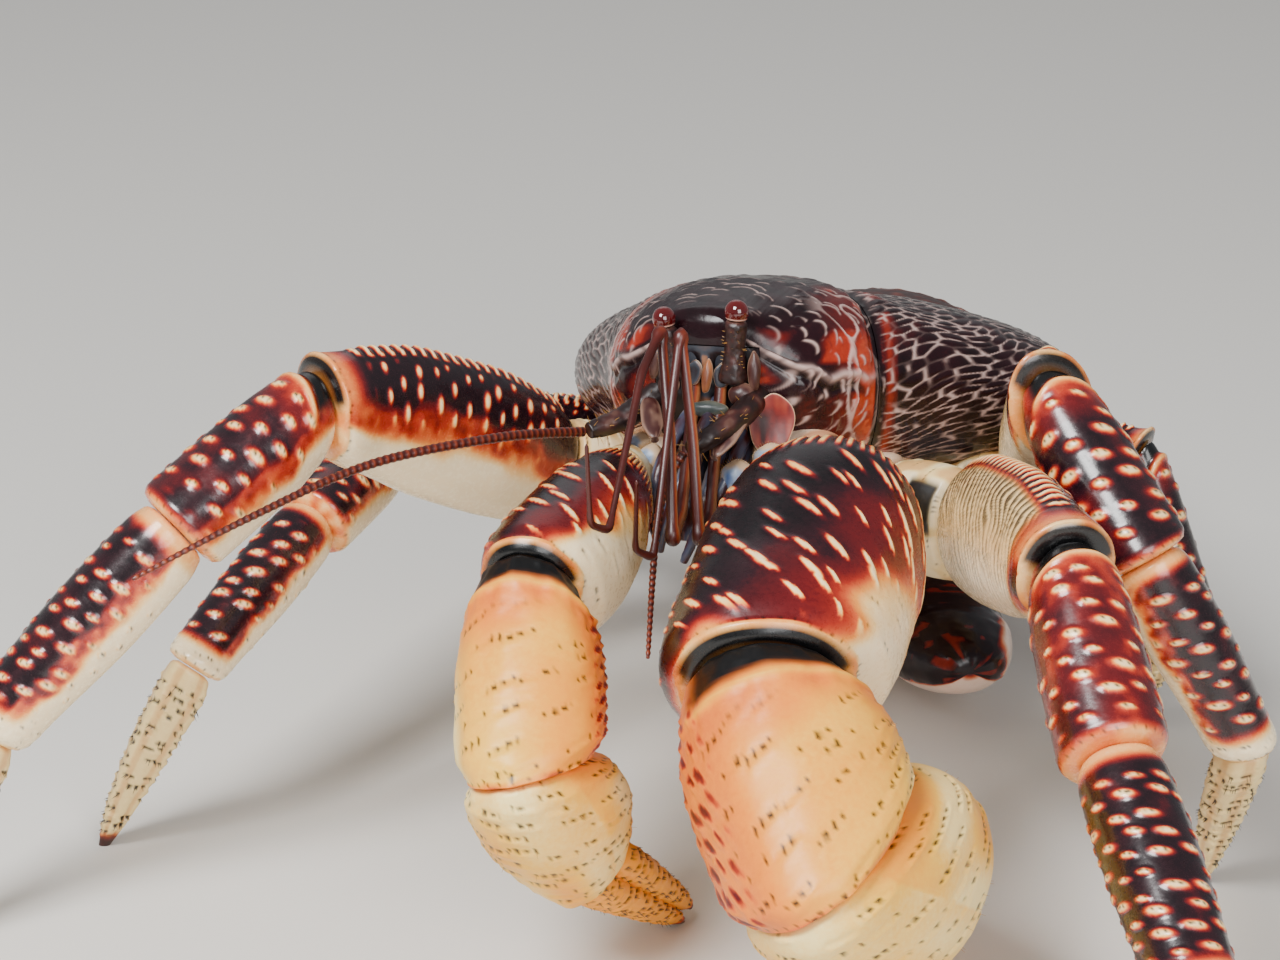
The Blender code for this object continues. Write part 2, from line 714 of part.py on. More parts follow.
def abdomen(group):
    """The soft sac on the floor, its horny plates and the tail that swings forward to the left."""
    rings = [(index + 1) / (SAC_RINGS + 1) for index in range(SAC_RINGS)]
    sac = loft("abdomen_sac", sac_place(), rings, SAC_SIDES, group, "skin")
    pieces = [sac]
    for index, (front, rear) in enumerate(zip(PLATE_EDGES, PLATE_EDGES[1:])):
        pieces.append(plate(f"abdomen_plate_{index + 1}", front, rear, group))
    for piece in pieces:
        body = loft("clearance", body_place(GAP), BODY_STATIONS, BODY_SIDES, group, "skin")
        boolean(piece, [body], "DIFFERENCE")
        keep_largest(piece)
    tail = Segment(TAIL_FROM, TAIL_TO, None, None, TAIL_PROFILE).build("tail", group, "abdomen", sides=16)
    boolean(tail, [loft("clearance", sac_place(GAP), rings, SAC_SIDES, group, "skin")], "DIFFERENCE")
    keep_largest(tail)


def plate(name, front, rear, group):
    bm = bmesh.new()
    bmesh.ops.create_grid(bm, x_segments=PLATE_COLUMNS, y_segments=PLATE_ROWS, size=1.0)
    half = SAC_HALF
    clear = GAP * 2 + PLATE_THICKNESS / 2
    for vert in bm.verts:
        side = math.radians(vert.co.x * PLATE_REACH)
        turn = math.radians(front + (rear - front - PLATE_GAP) * (vert.co.y + 1) / 2)
        spot = Vector((math.sin(side), -math.cos(side) * math.cos(turn), math.cos(side) * math.sin(turn)))
        outward = Vector((spot.x / half.x, spot.y / half.y, spot.z / half.z)).normalized()
        vert.co = SAC_MIDDLE + Vector((spot.x * half.x, spot.y * half.y, spot.z * half.z)) + outward * clear
    return thickened(finish(name, bm, group, "abdomen"), PLATE_THICKNESS)


def mirrored(place, side):
    return on_body(place[0] * side, place[1], place[2])


def eyes(group):
    """Each eye and its stalk, and copies grown by the gap that seat them in the head."""
    cutters = []
    for label, side in (("left", 1), ("right", -1)):
        root = mirrored(STALK_ROOT, side)
        middle = mirrored(EYE_PLACE + Vector((0, 0, EYE_RISE[label])), side)
        along = (middle - root).normalized()
        base = middle - along * EYE_BASE
        top = middle + along * EYE_TOP
        stalk = Segment(root, base, None, None, STALK_PROFILE)
        eye = Segment(base, top, None, None, EYE_PROFILE)
        stalk.build(f"eyestalk_{label}", group, "stalk", sides=10)
        eye.build(f"eye_{label}", group, "eye", sides=12)
        cutters.append(stalk.build("clearance", group, "stalk", sides=10, grow=GAP))
        cutters.append(eye.build("clearance", group, "eye", sides=12, grow=GAP))
    return cutters


def feelers(group):
    """Antennules, antennae and the outer mouth legs, with copies grown by the gap."""
    cutters = []
    for name, (points, radii, sides, steps, colour) in FEELERS.items():
        places = [Vector(point) for point in points]
        feeler = path_loft(name, places, radii, sides, group, colour, steps)
        grown = [radius + GAP for radius in radii]
        cutters.append(path_loft("clearance", places, grown, sides, group, colour, steps))
        if name in SCALES:
            scale = Segment(*SCALES[name], None, None, SCALE_PROFILE)
            boolean(feeler, [scale.build("scale", group, "stalk", sides=SCALE_SIDES)], "UNION")
            keep_largest(feeler)
            cutters.append(scale.build("clearance", group, "stalk", sides=SCALE_SIDES, grow=GAP))
    return cutters


def seated(piece, neighbours, group):
    """Cuts a piece clear of copies of its neighbours, each grown by the gap."""
    tools = [neighbour.build("clearance", group, "skin", grow=GAP) for neighbour in neighbours]
    boolean(piece, tools, "DIFFERENCE")
    keep_largest(piece)


def main():
    clear_scene()
    crab = new_collection("coconut_crab")
    shell = parted_shell(crab)
    limbs = {name: leg(name, crab) for name in LEGS}
    limbs.update({name: claw(name, crab) for name in CLAWS})
    coxae = [limb.coxa.build("coxa", crab, "thorax") for limb in limbs.values()]
    boolean(shell["thorax"], coxae, "UNION")
    keep_largest(shell["thorax"])
    neighbours = [limb.segments[0] for limb in limbs.values()]
    neighbours += [limbs["leg_2_left"].segments[1], limbs["leg_2_right"].segments[1]]
    small = eyes(crab) + feelers(crab)
    for name in ("thorax", "face", "shield", "lobe_left", "lobe_right"):
        tools = []
        if name != "thorax":
            tools = [limb.coxa.build("clearance", crab, "thorax", grow=GAP) for limb in limbs.values()]
        for tool in small:
            copy = bpy.data.objects.new("clearance", tool.data.copy())
            crab.objects.link(copy)
            tools.append(copy)
        boolean(shell[name], tools, "DIFFERENCE")
        keep_largest(shell[name])
        if name in ("thorax", "lobe_left", "lobe_right"):
            seated(shell[name], neighbours, crab)
    for tool in small:
        bpy.data.objects.remove(tool, do_unlink=True)
    seated(bpy.data.objects["mouth_leg_right"], [limbs["claw_right"].segments[0]], crab)
    seated(bpy.data.objects["mouth_leg_left"], [limbs["claw_left"].segments[0]], crab)
    abdomen(crab)


main()
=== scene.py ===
"""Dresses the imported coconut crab: shell relief, colour, eyes, feelers, floor and light.

Run by Blender in the background. Lengths are millimetres unless a name says otherwise,
and the frame's own metres are made by MM. The crab faces -Y and its left is +X.
"""

import math

import bmesh
import bpy
import numpy as np
from mathutils import Matrix, Vector


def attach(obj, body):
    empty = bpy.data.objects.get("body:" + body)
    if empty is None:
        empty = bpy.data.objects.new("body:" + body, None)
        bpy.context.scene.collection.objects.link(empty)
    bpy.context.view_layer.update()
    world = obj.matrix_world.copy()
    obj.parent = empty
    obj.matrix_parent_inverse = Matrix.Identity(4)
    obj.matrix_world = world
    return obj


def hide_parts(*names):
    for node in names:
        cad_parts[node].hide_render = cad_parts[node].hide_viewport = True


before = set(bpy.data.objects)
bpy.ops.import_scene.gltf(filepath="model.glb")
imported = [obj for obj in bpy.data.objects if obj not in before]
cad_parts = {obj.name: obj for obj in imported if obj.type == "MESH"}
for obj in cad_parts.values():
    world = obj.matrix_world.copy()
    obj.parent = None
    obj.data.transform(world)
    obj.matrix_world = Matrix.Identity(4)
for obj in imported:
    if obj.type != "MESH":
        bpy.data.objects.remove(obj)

bl_info = {
    "name": "Coconut crab dressing",
    "version": (1, 0, 0),
    "blender": (4, 5, 0),
    "location": "View3D > Sidebar > Crab",
    "description": "Builds the crab's detailed shell, limbs, head, floor and light around its solids",
    "category": "Object",
}

MM = 0.001
MERGE = 2e-7
GAP = 0.3
BODY = "root"

# How the body is held and its outline, as in the solids. A station is its distance from the
# front, the half width and the heights of the back and the belly.
EYES_MIDDLE = (0.0, -150.0, 140.0)
HEAD_UP = 15.0
LEFT_SIDE_UP = 4.5
BODY_STATIONS = (
    (3, 6, 0, -6),
    (6, 16, 2, -22),
    (11, 25, 3, -33),
    (22, 33, 6, -40),
    (36, 39, 8, -45),
    (50, 47, 8, -48),
    (64, 58, 5, -49),
    (78, 67, 4, -49),
    (92, 72, 2, -49),
    (106, 71, 0, -47),
    (118, 62, -3, -42),
    (127, 46, -7, -34),
    (131, 30, -11, -28),
)
BODY_SQUARENESS = 2.2
SHIELD_REAR = 62.0
SHIELD_CURVE = 0.022
FURROW_DEPTH = 2.4
FURROW_WIDTH = 4.0
FURROW_REACH = 50.0
HEART_FRONT_HALF_WIDTH = 15.0
HEART_SPREAD = 0.10
ARCH_MIDDLE = -27.0
ARCH_DROP = 21.0
ARCH_HALF_WIDTH = 54.0
ARCH_STEEPEST = 1.6
FACE_DEPTH = 12.0
FACE_TOP = -7.8
FACE_HALF_WIDTH = 14.0
FACE_FRONT = -20.0
CUT_TOP = 30.0
CUT_BESIDE = 84.0
CUT_BEHIND = 80.0
CUT_AHEAD = -40
FURROW_STEPS = 14
HEART_COLUMNS = 6
ARCH_COLUMNS = 28
SHELL_PLACES = {
    "shield": ((0, 30, 8), "carapace"),
    "heart": ((0, 95, 2), "carapace"),
    "lobe_left": ((55, 85, -5), "carapace"),
    "lobe_right": ((-55, 85, -5), "carapace"),
    "thorax": ((0, 70, -49), "thorax"),
    "face": ((0, 5, -20), "face"),
}

SAC_MIDDLE = (0.0, 0.0, 46.0)
SAC_HALF = (50.0, 45.0, 48.0)
PLATE_THICKNESS = 2.6
PLATE_REACH = 66.0
PLATE_EDGES = (72, 108, 144, 180, 214)
PLATE_GAP = 1.0
TAIL_FROM = (19.0, -34.0, 20.0)
TAIL_TO = (57.0, -92.0, 26.0)
TAIL_PROFILE = ((0.0, 20, 13, 0), (0.3, 20, 14, 0), (0.7, 17, 12, 0), (0.92, 11, 8, 0), (1.0, 5, 4, 0))

# Each limb's root on the body, then length, azimuth and elevation of its segments.
LEGS = {
    "leg_1_left": ((34, 47, -50), (("ischium", 30, 64, 5), ("merus", 88, 32, 16),
                   ("carpus", 49, 33, -36), ("propodus", 64, 35, -28), ("dactyl", 60, 32, None))),
    "leg_2_left": ((40, 72, -52), (("ischium", 26.3, 112.7, 12.1), ("merus", 80, 18.7, 36.5),
                   ("carpus", 46.3, 57.2, -39), ("propodus", 54.7, 107.7, -61.3),
                   ("dactyl", 56.2, 210.6, None))),
    "leg_3_left": ((36, 112, -54), (("merus", 62.5, 72, 25), ("carpus", 40.9, 82.4, -68.3),
                   ("hand", 60.1, 218.9, None))),
    "leg_1_right": ((-34, 47, -50), (("ischium", 28, 36, 21), ("merus", 81, 30, 26),
                    ("carpus", 48, 28, -27), ("propodus", 68, 52, -45), ("dactyl", 60, 36, None))),
    "leg_2_right": ((-38, 72, -54), (("ischium", 28, 135, -4), ("merus", 68.4, 46, 13.5),
                    ("carpus", 44.8, 5, -9.6), ("propodus", 53.7, 13.2, -26),
                    ("dactyl", 55.4, 62.4, None))),
    "leg_3_right": ((-36, 112, -54), (("merus", 60, 100, 6), ("carpus", 41, 150, -72),
                    ("hand", 58, -25, None))),
}
CLAWS = {
    "claw_left": ((30, 20, -45), (("ischium", 32, 17.4, 13), ("merus", 68.5, 6.1, -14.4),
                  ("carpus", 43.3, 42.7, -35.2), ("palm", 55, 167.5, -33), ("finger", 50, 200, None))),
    "claw_right": ((-24, 20, -44), (("ischium", 28, -12, 11), ("merus", 57, -1, -3),
                   ("carpus", 46, -23, -38), ("palm", 41, -165, -59), ("finger", 46, -162, None))),
}
# A profile's rows: share of the length, half width, half height and how far the middle is raised.
LEG_PROFILES = {
    "coxa": ((0.0, 9, 11, 0), (0.6, 11, 13, 0), (1.0, 11, 13, 0)),
    "ischium": ((0.0, 10, 12, 0), (0.25, 11.5, 14, 0), (0.7, 11, 15, 0), (1.0, 10, 14, 0)),
    "merus": ((0.0, 8.5, 13, 0), (0.12, 10, 16.5, 1), (0.35, 11, 18.5, 2), (0.6, 11, 18, 2),
              (0.82, 11, 15, 1), (0.95, 12, 13, 0), (1.0, 11, 11.5, 0)),
    "carpus": ((0.0, 8.5, 9, 0), (0.12, 10.5, 11, 0), (0.4, 12, 12.5, 0), (0.8, 12.5, 12.5, 0),
               (0.94, 12.5, 12.5, 0), (1.0, 10.5, 11, 0)),
    "propodus": ((0.0, 8.5, 9, 0), (0.1, 10, 10.5, 0), (0.4, 10.5, 11, 0), (0.85, 9.5, 9.5, 0),
                 (0.95, 9.3, 9.3, 0), (1.0, 7.5, 8, 0)),
    "dactyl": ((0.0, 6, 6.5, 0), (0.12, 7, 7.5, 0), (0.4, 6.2, 6.8, 0.6), (0.7, 4.4, 5, 0.8),
               (0.9, 2.6, 3, 0.4), (1.0, 1.3, 1.6, 0)),
    "hand": ((0.0, 6.5, 7, 0), (0.15, 8.5, 9.5, 0), (0.5, 9, 10.5, 0), (0.72, 7, 8.5, 0),
             (0.9, 4, 4.5, 0), (1.0, 2.2, 2.6, 0)),
}
CLAW_PROFILES = {
    "coxa": ((0.0, 10, 11, 0), (0.6, 12, 13, 0), (1.0, 12, 13, 0)),
    "ischium": ((0.0, 12, 13, 0), (0.4, 14, 16, 0), (1.0, 15, 18, 0)),
    "merus": ((0.0, 15, 18, 0), (0.15, 20, 22, 0), (0.4, 25, 26, -1), (0.65, 27, 27, -2),
              (0.86, 26, 26, -2), (1.0, 18, 20, 0)),
    "broad_merus": ((0.0, 17, 19, 0), (0.06, 21, 23, 0), (0.18, 25, 26, 0), (0.4, 27, 27, -1),
                    (0.65, 27, 27, -2), (0.86, 26, 26, -2), (1.0, 18, 20, 0)),
    "carpus": ((0.0, 17, 19, 0), (0.15, 21, 22, 0), (0.5, 25, 24, 0), (0.85, 25, 24, 0),
               (1.0, 20, 20, 0)),
    "slim_palm": ((0.0, 18, 20, 0), (0.15, 22, 25, 0), (0.4, 23.5, 26.5, 0), (0.7, 19.5, 23, 0),
                  (0.9, 15, 19, 0), (1.0, 12.5, 16.5, 0)),
    "palm": ((0.0, 18, 20, 0), (0.15, 23, 25, 0), (0.45, 26, 28, 0), (0.72, 24, 26, 0),
             (0.9, 18, 21, 0), (1.0, 14, 17, 0)),
}
FINGER_PROFILE = ((0.0, 0.42, 0.42, 0.0), (0.12, 0.46, 0.46, 0.0), (0.45, 0.38, 0.40, 0.0),
                  (0.8, 0.22, 0.26, 0.0), (0.94, 0.12, 0.14, 0.0), (1.0, 0.05, 0.06, 0.0))
SEGMENT_SIZE = {"leg_1_left": 1.0, "leg_1_right": 1.0, "leg_2_left": 0.90, "leg_2_right": 0.85,
                "leg_3_left": 0.52, "leg_3_right": 0.50, "claw_left": 1.0, "claw_right": 0.70}
CLAW_RIGHT_ARM_WIDTH = 0.82
COXA_INSET = 0.45
COXA_START = -36.0
TIP_SPREAD = 7.0
FINGER_SPACING = 0.5
FINGER_SUNK = 8.0
BRISTLE_SUNK = 0.3
BRISTLE_RADIUS = 0.13
KNOB_SETAE = 44
STALK_SETAE = 30
BASE_SETAE = 34
FEELER_STEPS = 300
KNEE_STEPS = 5
FLOOR = Vector((0, 0, -1))

EYE_PLACE = (9.7, 0.0, 0.0)
EYE_RISE = {"left": 1.2, "right": -1.4}
EYE_BASE = 1.8
EYE_LENGTH = 3.1
EYE_WIDTH = 3.1
EYE_HEIGHT = 2.85
EYE_CUT = 0.98
STALK_ROOT = (8.0, 3.5, -17.0)
STALK_PROFILE = ((0.0, 2.6, 2.6, 0), (0.5, 2.4, 2.5, 0), (0.85, 2.3, 2.4, 0), (1.0, 2.5, 2.4, 0))
# Points that a feeler runs through, its radii from root to tip and its kind.
FEELERS = {
    "antennule_right": (
        ((-2, -147, 123), (6, -178, 98), (10.5, -195, 98), (5, -183, 120), (-3, -169, 142),
         (-2, -184, 136), (4.6, -221, 110), (2, -226, 113), (2, -228, 134)),
        (1.6, 1.5, 1.4, 1.4, 1.2, 1.0, 0.7, 0.5), "feeler"),
    "antennule_left": (
        ((5, -147, 125), (12, -174, 96), (14, -186, 95), (9, -178, 118), (3, -171, 143),
         (4, -178, 132), (9, -204, 97), (6, -208, 100), (8, -212, 120)),
        (1.6, 1.5, 1.4, 1.4, 1.2, 1.0, 0.7, 0.5), "feeler"),
    "antenna_base_right": (((-10, -144, 119), (-18, -154, 112), (-25, -163, 110)),
                           (3.0, 3.2, 3.0, 2.6, 2.0), "stalk"),
    "antenna_base_left": (((15, -145, 120), (14, -162, 118), (7, -175, 114)),
                          (3.0, 3.2, 3.0, 2.6, 2.0), "stalk"),
    "antenna_right": (
        ((-26, -164, 110), (-38, -190, 116), (-58, -220, 117), (-75, -250, 112), (-92, -276, 104)),
        (1.3, 1.2, 1.1, 0.9, 0.5), "feeler"),
    "antenna_left": (
        ((6.2, -176.5, 113.7), (3.5, -181, 107.5), (5, -191, 101), (8.5, -203, 91.5), (15.5, -223.5, 80)),
        (1.2, 1.1, 1.0, 0.8, 0.5), "feeler"),
    "mouth_leg_right": (((0, -145, 108), (0, -158, 94), (1, -163, 84)), (4.0, 4.2, 3.4, 2.0), "mouth"),
    "mouth_leg_left": (((9, -145, 108), (11, -158, 93), (10, -164, 81)), (4.0, 4.2, 3.4, 2.0), "mouth"),
}
# A plate's middle, the way it faces, half width, half height, hollow and finish.
HEAD_PLATES = {
    "cheek_plate_left": ((20.5, -153, 115), (0.30, -0.85, 0.42), 5.4, 7.8, 2.2, "plate"),
    "cheek_plate_right": ((-18, -144, 113), (-0.5, -0.8, 0.3), 5.2, 6.6, 1.6, "plate"),
    "mouth_knob_1": ((15.4, -164, 104), (0.2, -0.9, 0.3), 4.0, 4.6, -1.8, "knob"),
    "mouth_knob_2": ((21.8, -157, 107.5), (0.4, -0.85, 0.35), 4.4, 3.8, -1.8, "knob"),
    "brow_plate": ((2.5, -151.3, 124.5), (0.1, -0.95, 0.3), 1.3, 4.6, -0.5, "brow"),
    "lip_plate": ((4.5, -155.5, 117.5), (0.1, -0.9, 0.4), 4.8, 2.2, -0.6, "lip"),
    "brow_hollow_left": ((6.3, -150.6, 125), (0.3, -0.9, 0.3), 2.1, 3.4, 0.9, "face"),
    "brow_hollow_right": ((-1.4, -150.4, 124.6), (-0.1, -0.95, 0.3), 2.1, 3.4, 0.9, "face"),
    "stalk_root_left": ((12.2, -152.5, 121.5), (0.3, -0.9, 0.3), 3.2, 3.0, -1.2, "stalk"),
    "stalk_root_right": ((-7.5, -152, 121), (-0.3, -0.9, 0.3), 3.0, 3.0, -1.2, "stalk"),
    "orbit_plate_left": ((14.6, -150.2, 127.0), (0.5, -0.82, 0.25), 1.6, 5.4, -0.6, "stalk"),
    "orbit_plate_right": ((-11.6, -149.6, 126.2), (-0.5, -0.82, 0.25), 1.6, 5.2, -0.6, "stalk"),
    "mouth_knob_3": ((-11, -155, 102), (-0.2, -0.9, 0.3), 3.4, 3.8, -1.6, "knob"),
    "mouth_knob_4": ((-17, -147, 102), (-0.4, -0.85, 0.3), 3.6, 3.2, -1.8, "knob"),
}
MOUTH_RODS = (
    ((3, -150, 112), (2, -164, 104), (-1, -171, 92), (-2, -172, 84)),
    ((8, -150, 112), (9, -164, 104), (8, -172, 92), (5, -174, 83)),
    ((-5, -150, 110), (-6, -162, 102), (-6, -167, 92), (-4, -168, 84)),
    ((13, -150, 112), (14, -160, 108), (12, -168, 99), (9, -171, 90)),
    ((5, -150, 118), (5, -160, 114), (5, -166, 106), (4, -170, 98)),
    ((-1, -150, 116), (-2, -160, 112), (-3, -165, 105), (-3, -168, 98)),
    ((12, -146, 107), (14, -154, 106), (15, -160, 105), (15.4, -163, 104)),
    ((19, -142, 110), (20.5, -149, 109), (21.5, -154, 108), (21.8, -156.5, 107.5)),
    ((19, -142, 117), (19.6, -146, 116), (19.9, -148, 115.6), (20, -149.5, 115.3)),
)
SCALES = {
    "antenna_base_right": ((-13, -152, 117), (-6.5, -164, 110.5)),
    "antenna_base_left": ((15.5, -158, 120), (12.5, -172.5, 111.5)),
}
SCALE_PROFILE = ((0.0, 1.5, 1.0, 0), (0.25, 2.6, 1.1, 0), (0.6, 2.8, 0.9, 0), (0.85, 1.7, 0.7, 0),
                 (1.0, 0.6, 0.5, 0))

# Knobs on the shell: mm between rows and between knobs in a row, their half sizes along and
# across the limb, height in mm, place on the pigment ramp, slant in degrees, pits on each.
STUDS = {
    "merus": dict(rows=5.0, apart=6.6, half_s=0.75, half_w=1.7, height=0.4, tone=0.92, slant=8, pits=0,
                  seed=4),
    "carpus": dict(rows=4.9, apart=8.4, half_s=0.95, half_w=2.2),
    "propodus": dict(rows=4.8, apart=7.4, half_s=0.9, half_w=2.1),
    "propodus_side": dict(rows=5.0, apart=6.5, half_s=0.9, half_w=0.9, height=0.35, tone=1.0, pits=1),
    "claw_merus": dict(rows=8.2, apart=7.0, half_s=3.9, half_w=0.72, height=0.45, pits=0, jitter=0.85,
                       ring_tone=0.20, edge_drop=0.08, seed=63),
}
# Bristle pits: mm between rows and between groups in a row, pits in a group and mm between them.
PITS = {
    "coxa": dict(rows=6.0, apart=8.0, dots=3, step=1.4, seed=57),
    "ischium": dict(rows=7.0, apart=9.0, dots=3, step=1.5, seed=31),
    "propodus": dict(rows=3.6, apart=4.0, dots=2, step=1.3, seed=41),
    "dactyl": dict(rows=3.0, apart=3.6, dots=2, step=1.5, seed=51, radius=0.72, depth=0.45),
    "claw_merus": dict(rows=8.5, apart=10.0, dots=2, step=2.2, seed=67),
    "claw_carpus": dict(rows=6.4, apart=9.5, dots=3, step=2.5, seed=75, slant=-14, radius=0.76, depth=0.35),
    "palm": dict(apart=9.0, dots=3, step=2.4, seed=83, slant=10, radius=0.78, depth=0.32),
    "finger": dict(rows=2.9, apart=3.6, dots=2, step=1.5, seed=91, radius=0.7, depth=0.4),
}
CARPUS_SCALES = dict(rows=4.4, apart=4.6, half_s=0.6, half_w=2.1, tone=0.2, seed=77)
CREST_PITCH = 3.2
SHIELD_LINES = dict(pitch=4.4, reach=2.6, width=0.42, seed=3, bow=0.14, jitter=0.8)
LOBE_SCALES = dict(long=7.6, wide=2.7, seed=8)

# Factors that turn two whole numbers and a seed into a repeatable number.
HASH = (12.9898, 78.233, 37.719, 43758.5453)

# Spacing of vertices, and how many stand along and round a piece.
SMALL_PITCH = 0.35
TAIL_PITCH = 0.8
COXA_PITCH = 1.2
SAC_RINGS = 130
SAC_SIDES = 220
SAC_SUNK = 0.4
PLATE_COLUMNS = 110
PLATE_ROWS = 36
LEAF_RINGS = 44
LEAF_SIDES = 72
EYE_RINGS = 60
EYE_SIDES = 96
FEELER_SIDES = 16
BASE_STEPS = 90
BASE_SIDES = 32
ROD_RADII = (1.5, 1.7, 1.4, 0.8)
SHARP_ANGLE = 60

# The camera, placed in metres. Its focal length is 3400 pixels of a picture 1280 wide.
SENSOR_WIDTH = 36.0
LENS = 3400 / 1280 * SENSOR_WIDTH
CAMERA_PLACE = (0.2867, -0.8997, 0.4198)
CAMERA_TURN = 22
CAMERA_DOWN = 22
NEAREST = 0.01
LIGHT_AIM = (0.0, -0.16, 0.07)
# Each lamp's place and side, in metres. The back lamp has a share of the key's power.
BACK_SHARE = 0.03
LAMPS = {
    "key": ((-0.25, -1.05, 1.15), 0.55),
    "fill": ((0.8, -1.1, 0.62), 0.7),
    "back": ((-0.5, 0.95, 0.9), 0.8),
}
SKY_COLOUR = "#E8EAEE"
SHELL_IOR = 1.55
CORNEA_IOR = 1.5
# Pigment spots are about 1.4 mm across, with finer ones in them, in cells per metre.
MOTTLE_SCALE = 700.0
BRISTLE_ROUGHNESS = 0.4


# Number helpers.


def fine(stations, t):
    """The sizes of a list of stations at each t, on a smooth curve that doesn't overshoot."""
    table = np.array(stations, float)
    x = table[:, 0]
    t = np.clip(np.asarray(t, float), x[0], x[-1])
    index = np.clip(np.searchsorted(x, t, side="right") - 1, 0, len(x) - 2)
    step = np.diff(x)
    found = []
    for column in table[:, 1:].T:
        slope = np.diff(column) / step
        tangent = np.empty(len(x))
        tangent[0] = slope[0]
        tangent[-1] = slope[-1]
        product = slope[:-1] * slope[1:]
        total = slope[:-1] + slope[1:]
        safe = np.where(total == 0, 1.0, total)
        tangent[1:-1] = np.where(product > 0, 2 * product / safe, 0.0)
        h = step[index]
        u = (t - x[index]) / h
        a = column[index]
        b = column[index + 1]
        found.append(
            a * (2 * u**3 - 3 * u**2 + 1)
            + h * tangent[index] * (u**3 - 2 * u**2 + u)
            + b * (3 * u**2 - 2 * u**3)
            + h * tangent[index + 1] * (u**3 - u**2)
        )
    return found


def squared(value, squareness):
    return np.sign(value) * np.abs(value) ** (2 / squareness)


def ease(low, high, value):
    """0 below low, 1 above high and smooth between. low may be the larger one."""
    part = np.clip((value - low) / (high - low), 0.0, 1.0)
    return part * part * (3 - 2 * part)


def span(value, start, full, last, end):
    """0 outside start and end, 1 from full to last and smooth between."""
    return ease(start, full, value) * ease(end, last, value)


def scatter(first, second, seed):
    """A repeatable number from 0 to 1 for each pair of whole numbers."""
    mixed = np.sin(first * HASH[0] + second * HASH[1] + seed * HASH[2]) * HASH[3]
    return mixed - np.floor(mixed)


def wander(x, y, seed):
    """Smooth repeatable noise from 0 to 1 over a plane, one unit to a cell."""
    column = np.floor(x)
    row = np.floor(y)
    u = x - column
    v = y - row
    u = u * u * (3 - 2 * u)
    v = v * v * (3 - 2 * v)
    near = scatter(column, row, seed) * (1 - u) + scatter(column + 1, row, seed) * u
    far = scatter(column, row + 1, seed) * (1 - u) + scatter(column + 1, row + 1, seed) * u
    return near * (1 - v) + far * v


def mix(a, b, share):
    return a + (b - a) * share


# Surfaces.


class Surface:
    """What a pattern knows of a surface and changes on it, as arrays of rings by sides."""

    def __init__(self, s, angle, around, length):
        self.s = s
        self.angle = angle
        self.around = around
        self.length = length
        self.t = s / length
        self.up = np.sin(angle)
        self.side = np.cos(angle)
        self.rise = np.zeros_like(s)
        self.tone = np.zeros_like(s)
        self.pit = np.zeros_like(s)
        self.film = np.zeros_like(s)

    def girth(self, s):
        return np.interp(s, self.s[:, 0], self.around[:, 0])

    def noise(self, length, turns, seed):
        """Wandering from 0 to 1, over cells of one length and of 1 / turns of a radian."""
        return wander(self.s / length, self.angle * turns, seed)

    def paint(self, tone, share):
        """Moves the pigment towards a tone."""
        self.tone = mix(self.tone, tone, share)

    def lighten(self, tone):
        self.tone = np.maximum(self.tone, tone)

    def pierce(self, depth):
        """Darkens bristle pits."""
        self.pit = np.maximum(self.pit, depth)

    def cover(self, share):
        """Lays on the black skin of a joint."""
        self.film = np.maximum(self.film, share)


def cells(surface, rows, apart, half_s, half_w, seed, slant, jitter):
    """The nearest of ellipses that stand in rows round a limb.

    Gives the distance, 1 at the ellipse's edge, the place in it and a number of its own.
    """
    slant = math.radians(slant)
    best = np.full_like(surface.s, 99.0)
    best_x = np.zeros_like(surface.s)
    best_y = np.zeros_like(surface.s)
    kind = np.zeros_like(surface.s)
    row_at = surface.s / rows
    for row_step in (-1, 0, 1):
        row = np.floor(row_at + 0.5) + row_step
        girth = surface.girth(row * rows)
        count = np.maximum(3, np.round(girth / apart))
        column_at = surface.angle / math.tau * count + 0.5 * np.mod(row, 2)
        for column_step in (-1, 0, 1):
            column = np.floor(column_at + 0.5) + column_step
            wrapped = np.mod(column, count)
            move_w = jitter * (scatter(row, wrapped, seed) - 0.5)
            move_s = jitter * (scatter(row, wrapped, seed + 3) - 0.5)
            chance = scatter(row, wrapped, seed + 7)
            width = (column_at - column - move_w) * girth / count
            along = (row_at - row - move_s) * rows
            x = width * math.cos(slant) + along * math.sin(slant)
            y = along * math.cos(slant) - width * math.sin(slant)
            size = 0.75 + 0.5 * chance
            away = np.sqrt((x / (half_w * size)) ** 2 + (y / (half_s * size)) ** 2)
            closer = away < best
            best = np.where(closer, away, best)
            best_x = np.where(closer, x, best_x)
            best_y = np.where(closer, y, best_y)
            kind = np.where(closer, chance, kind)
    return best, best_x, best_y, kind


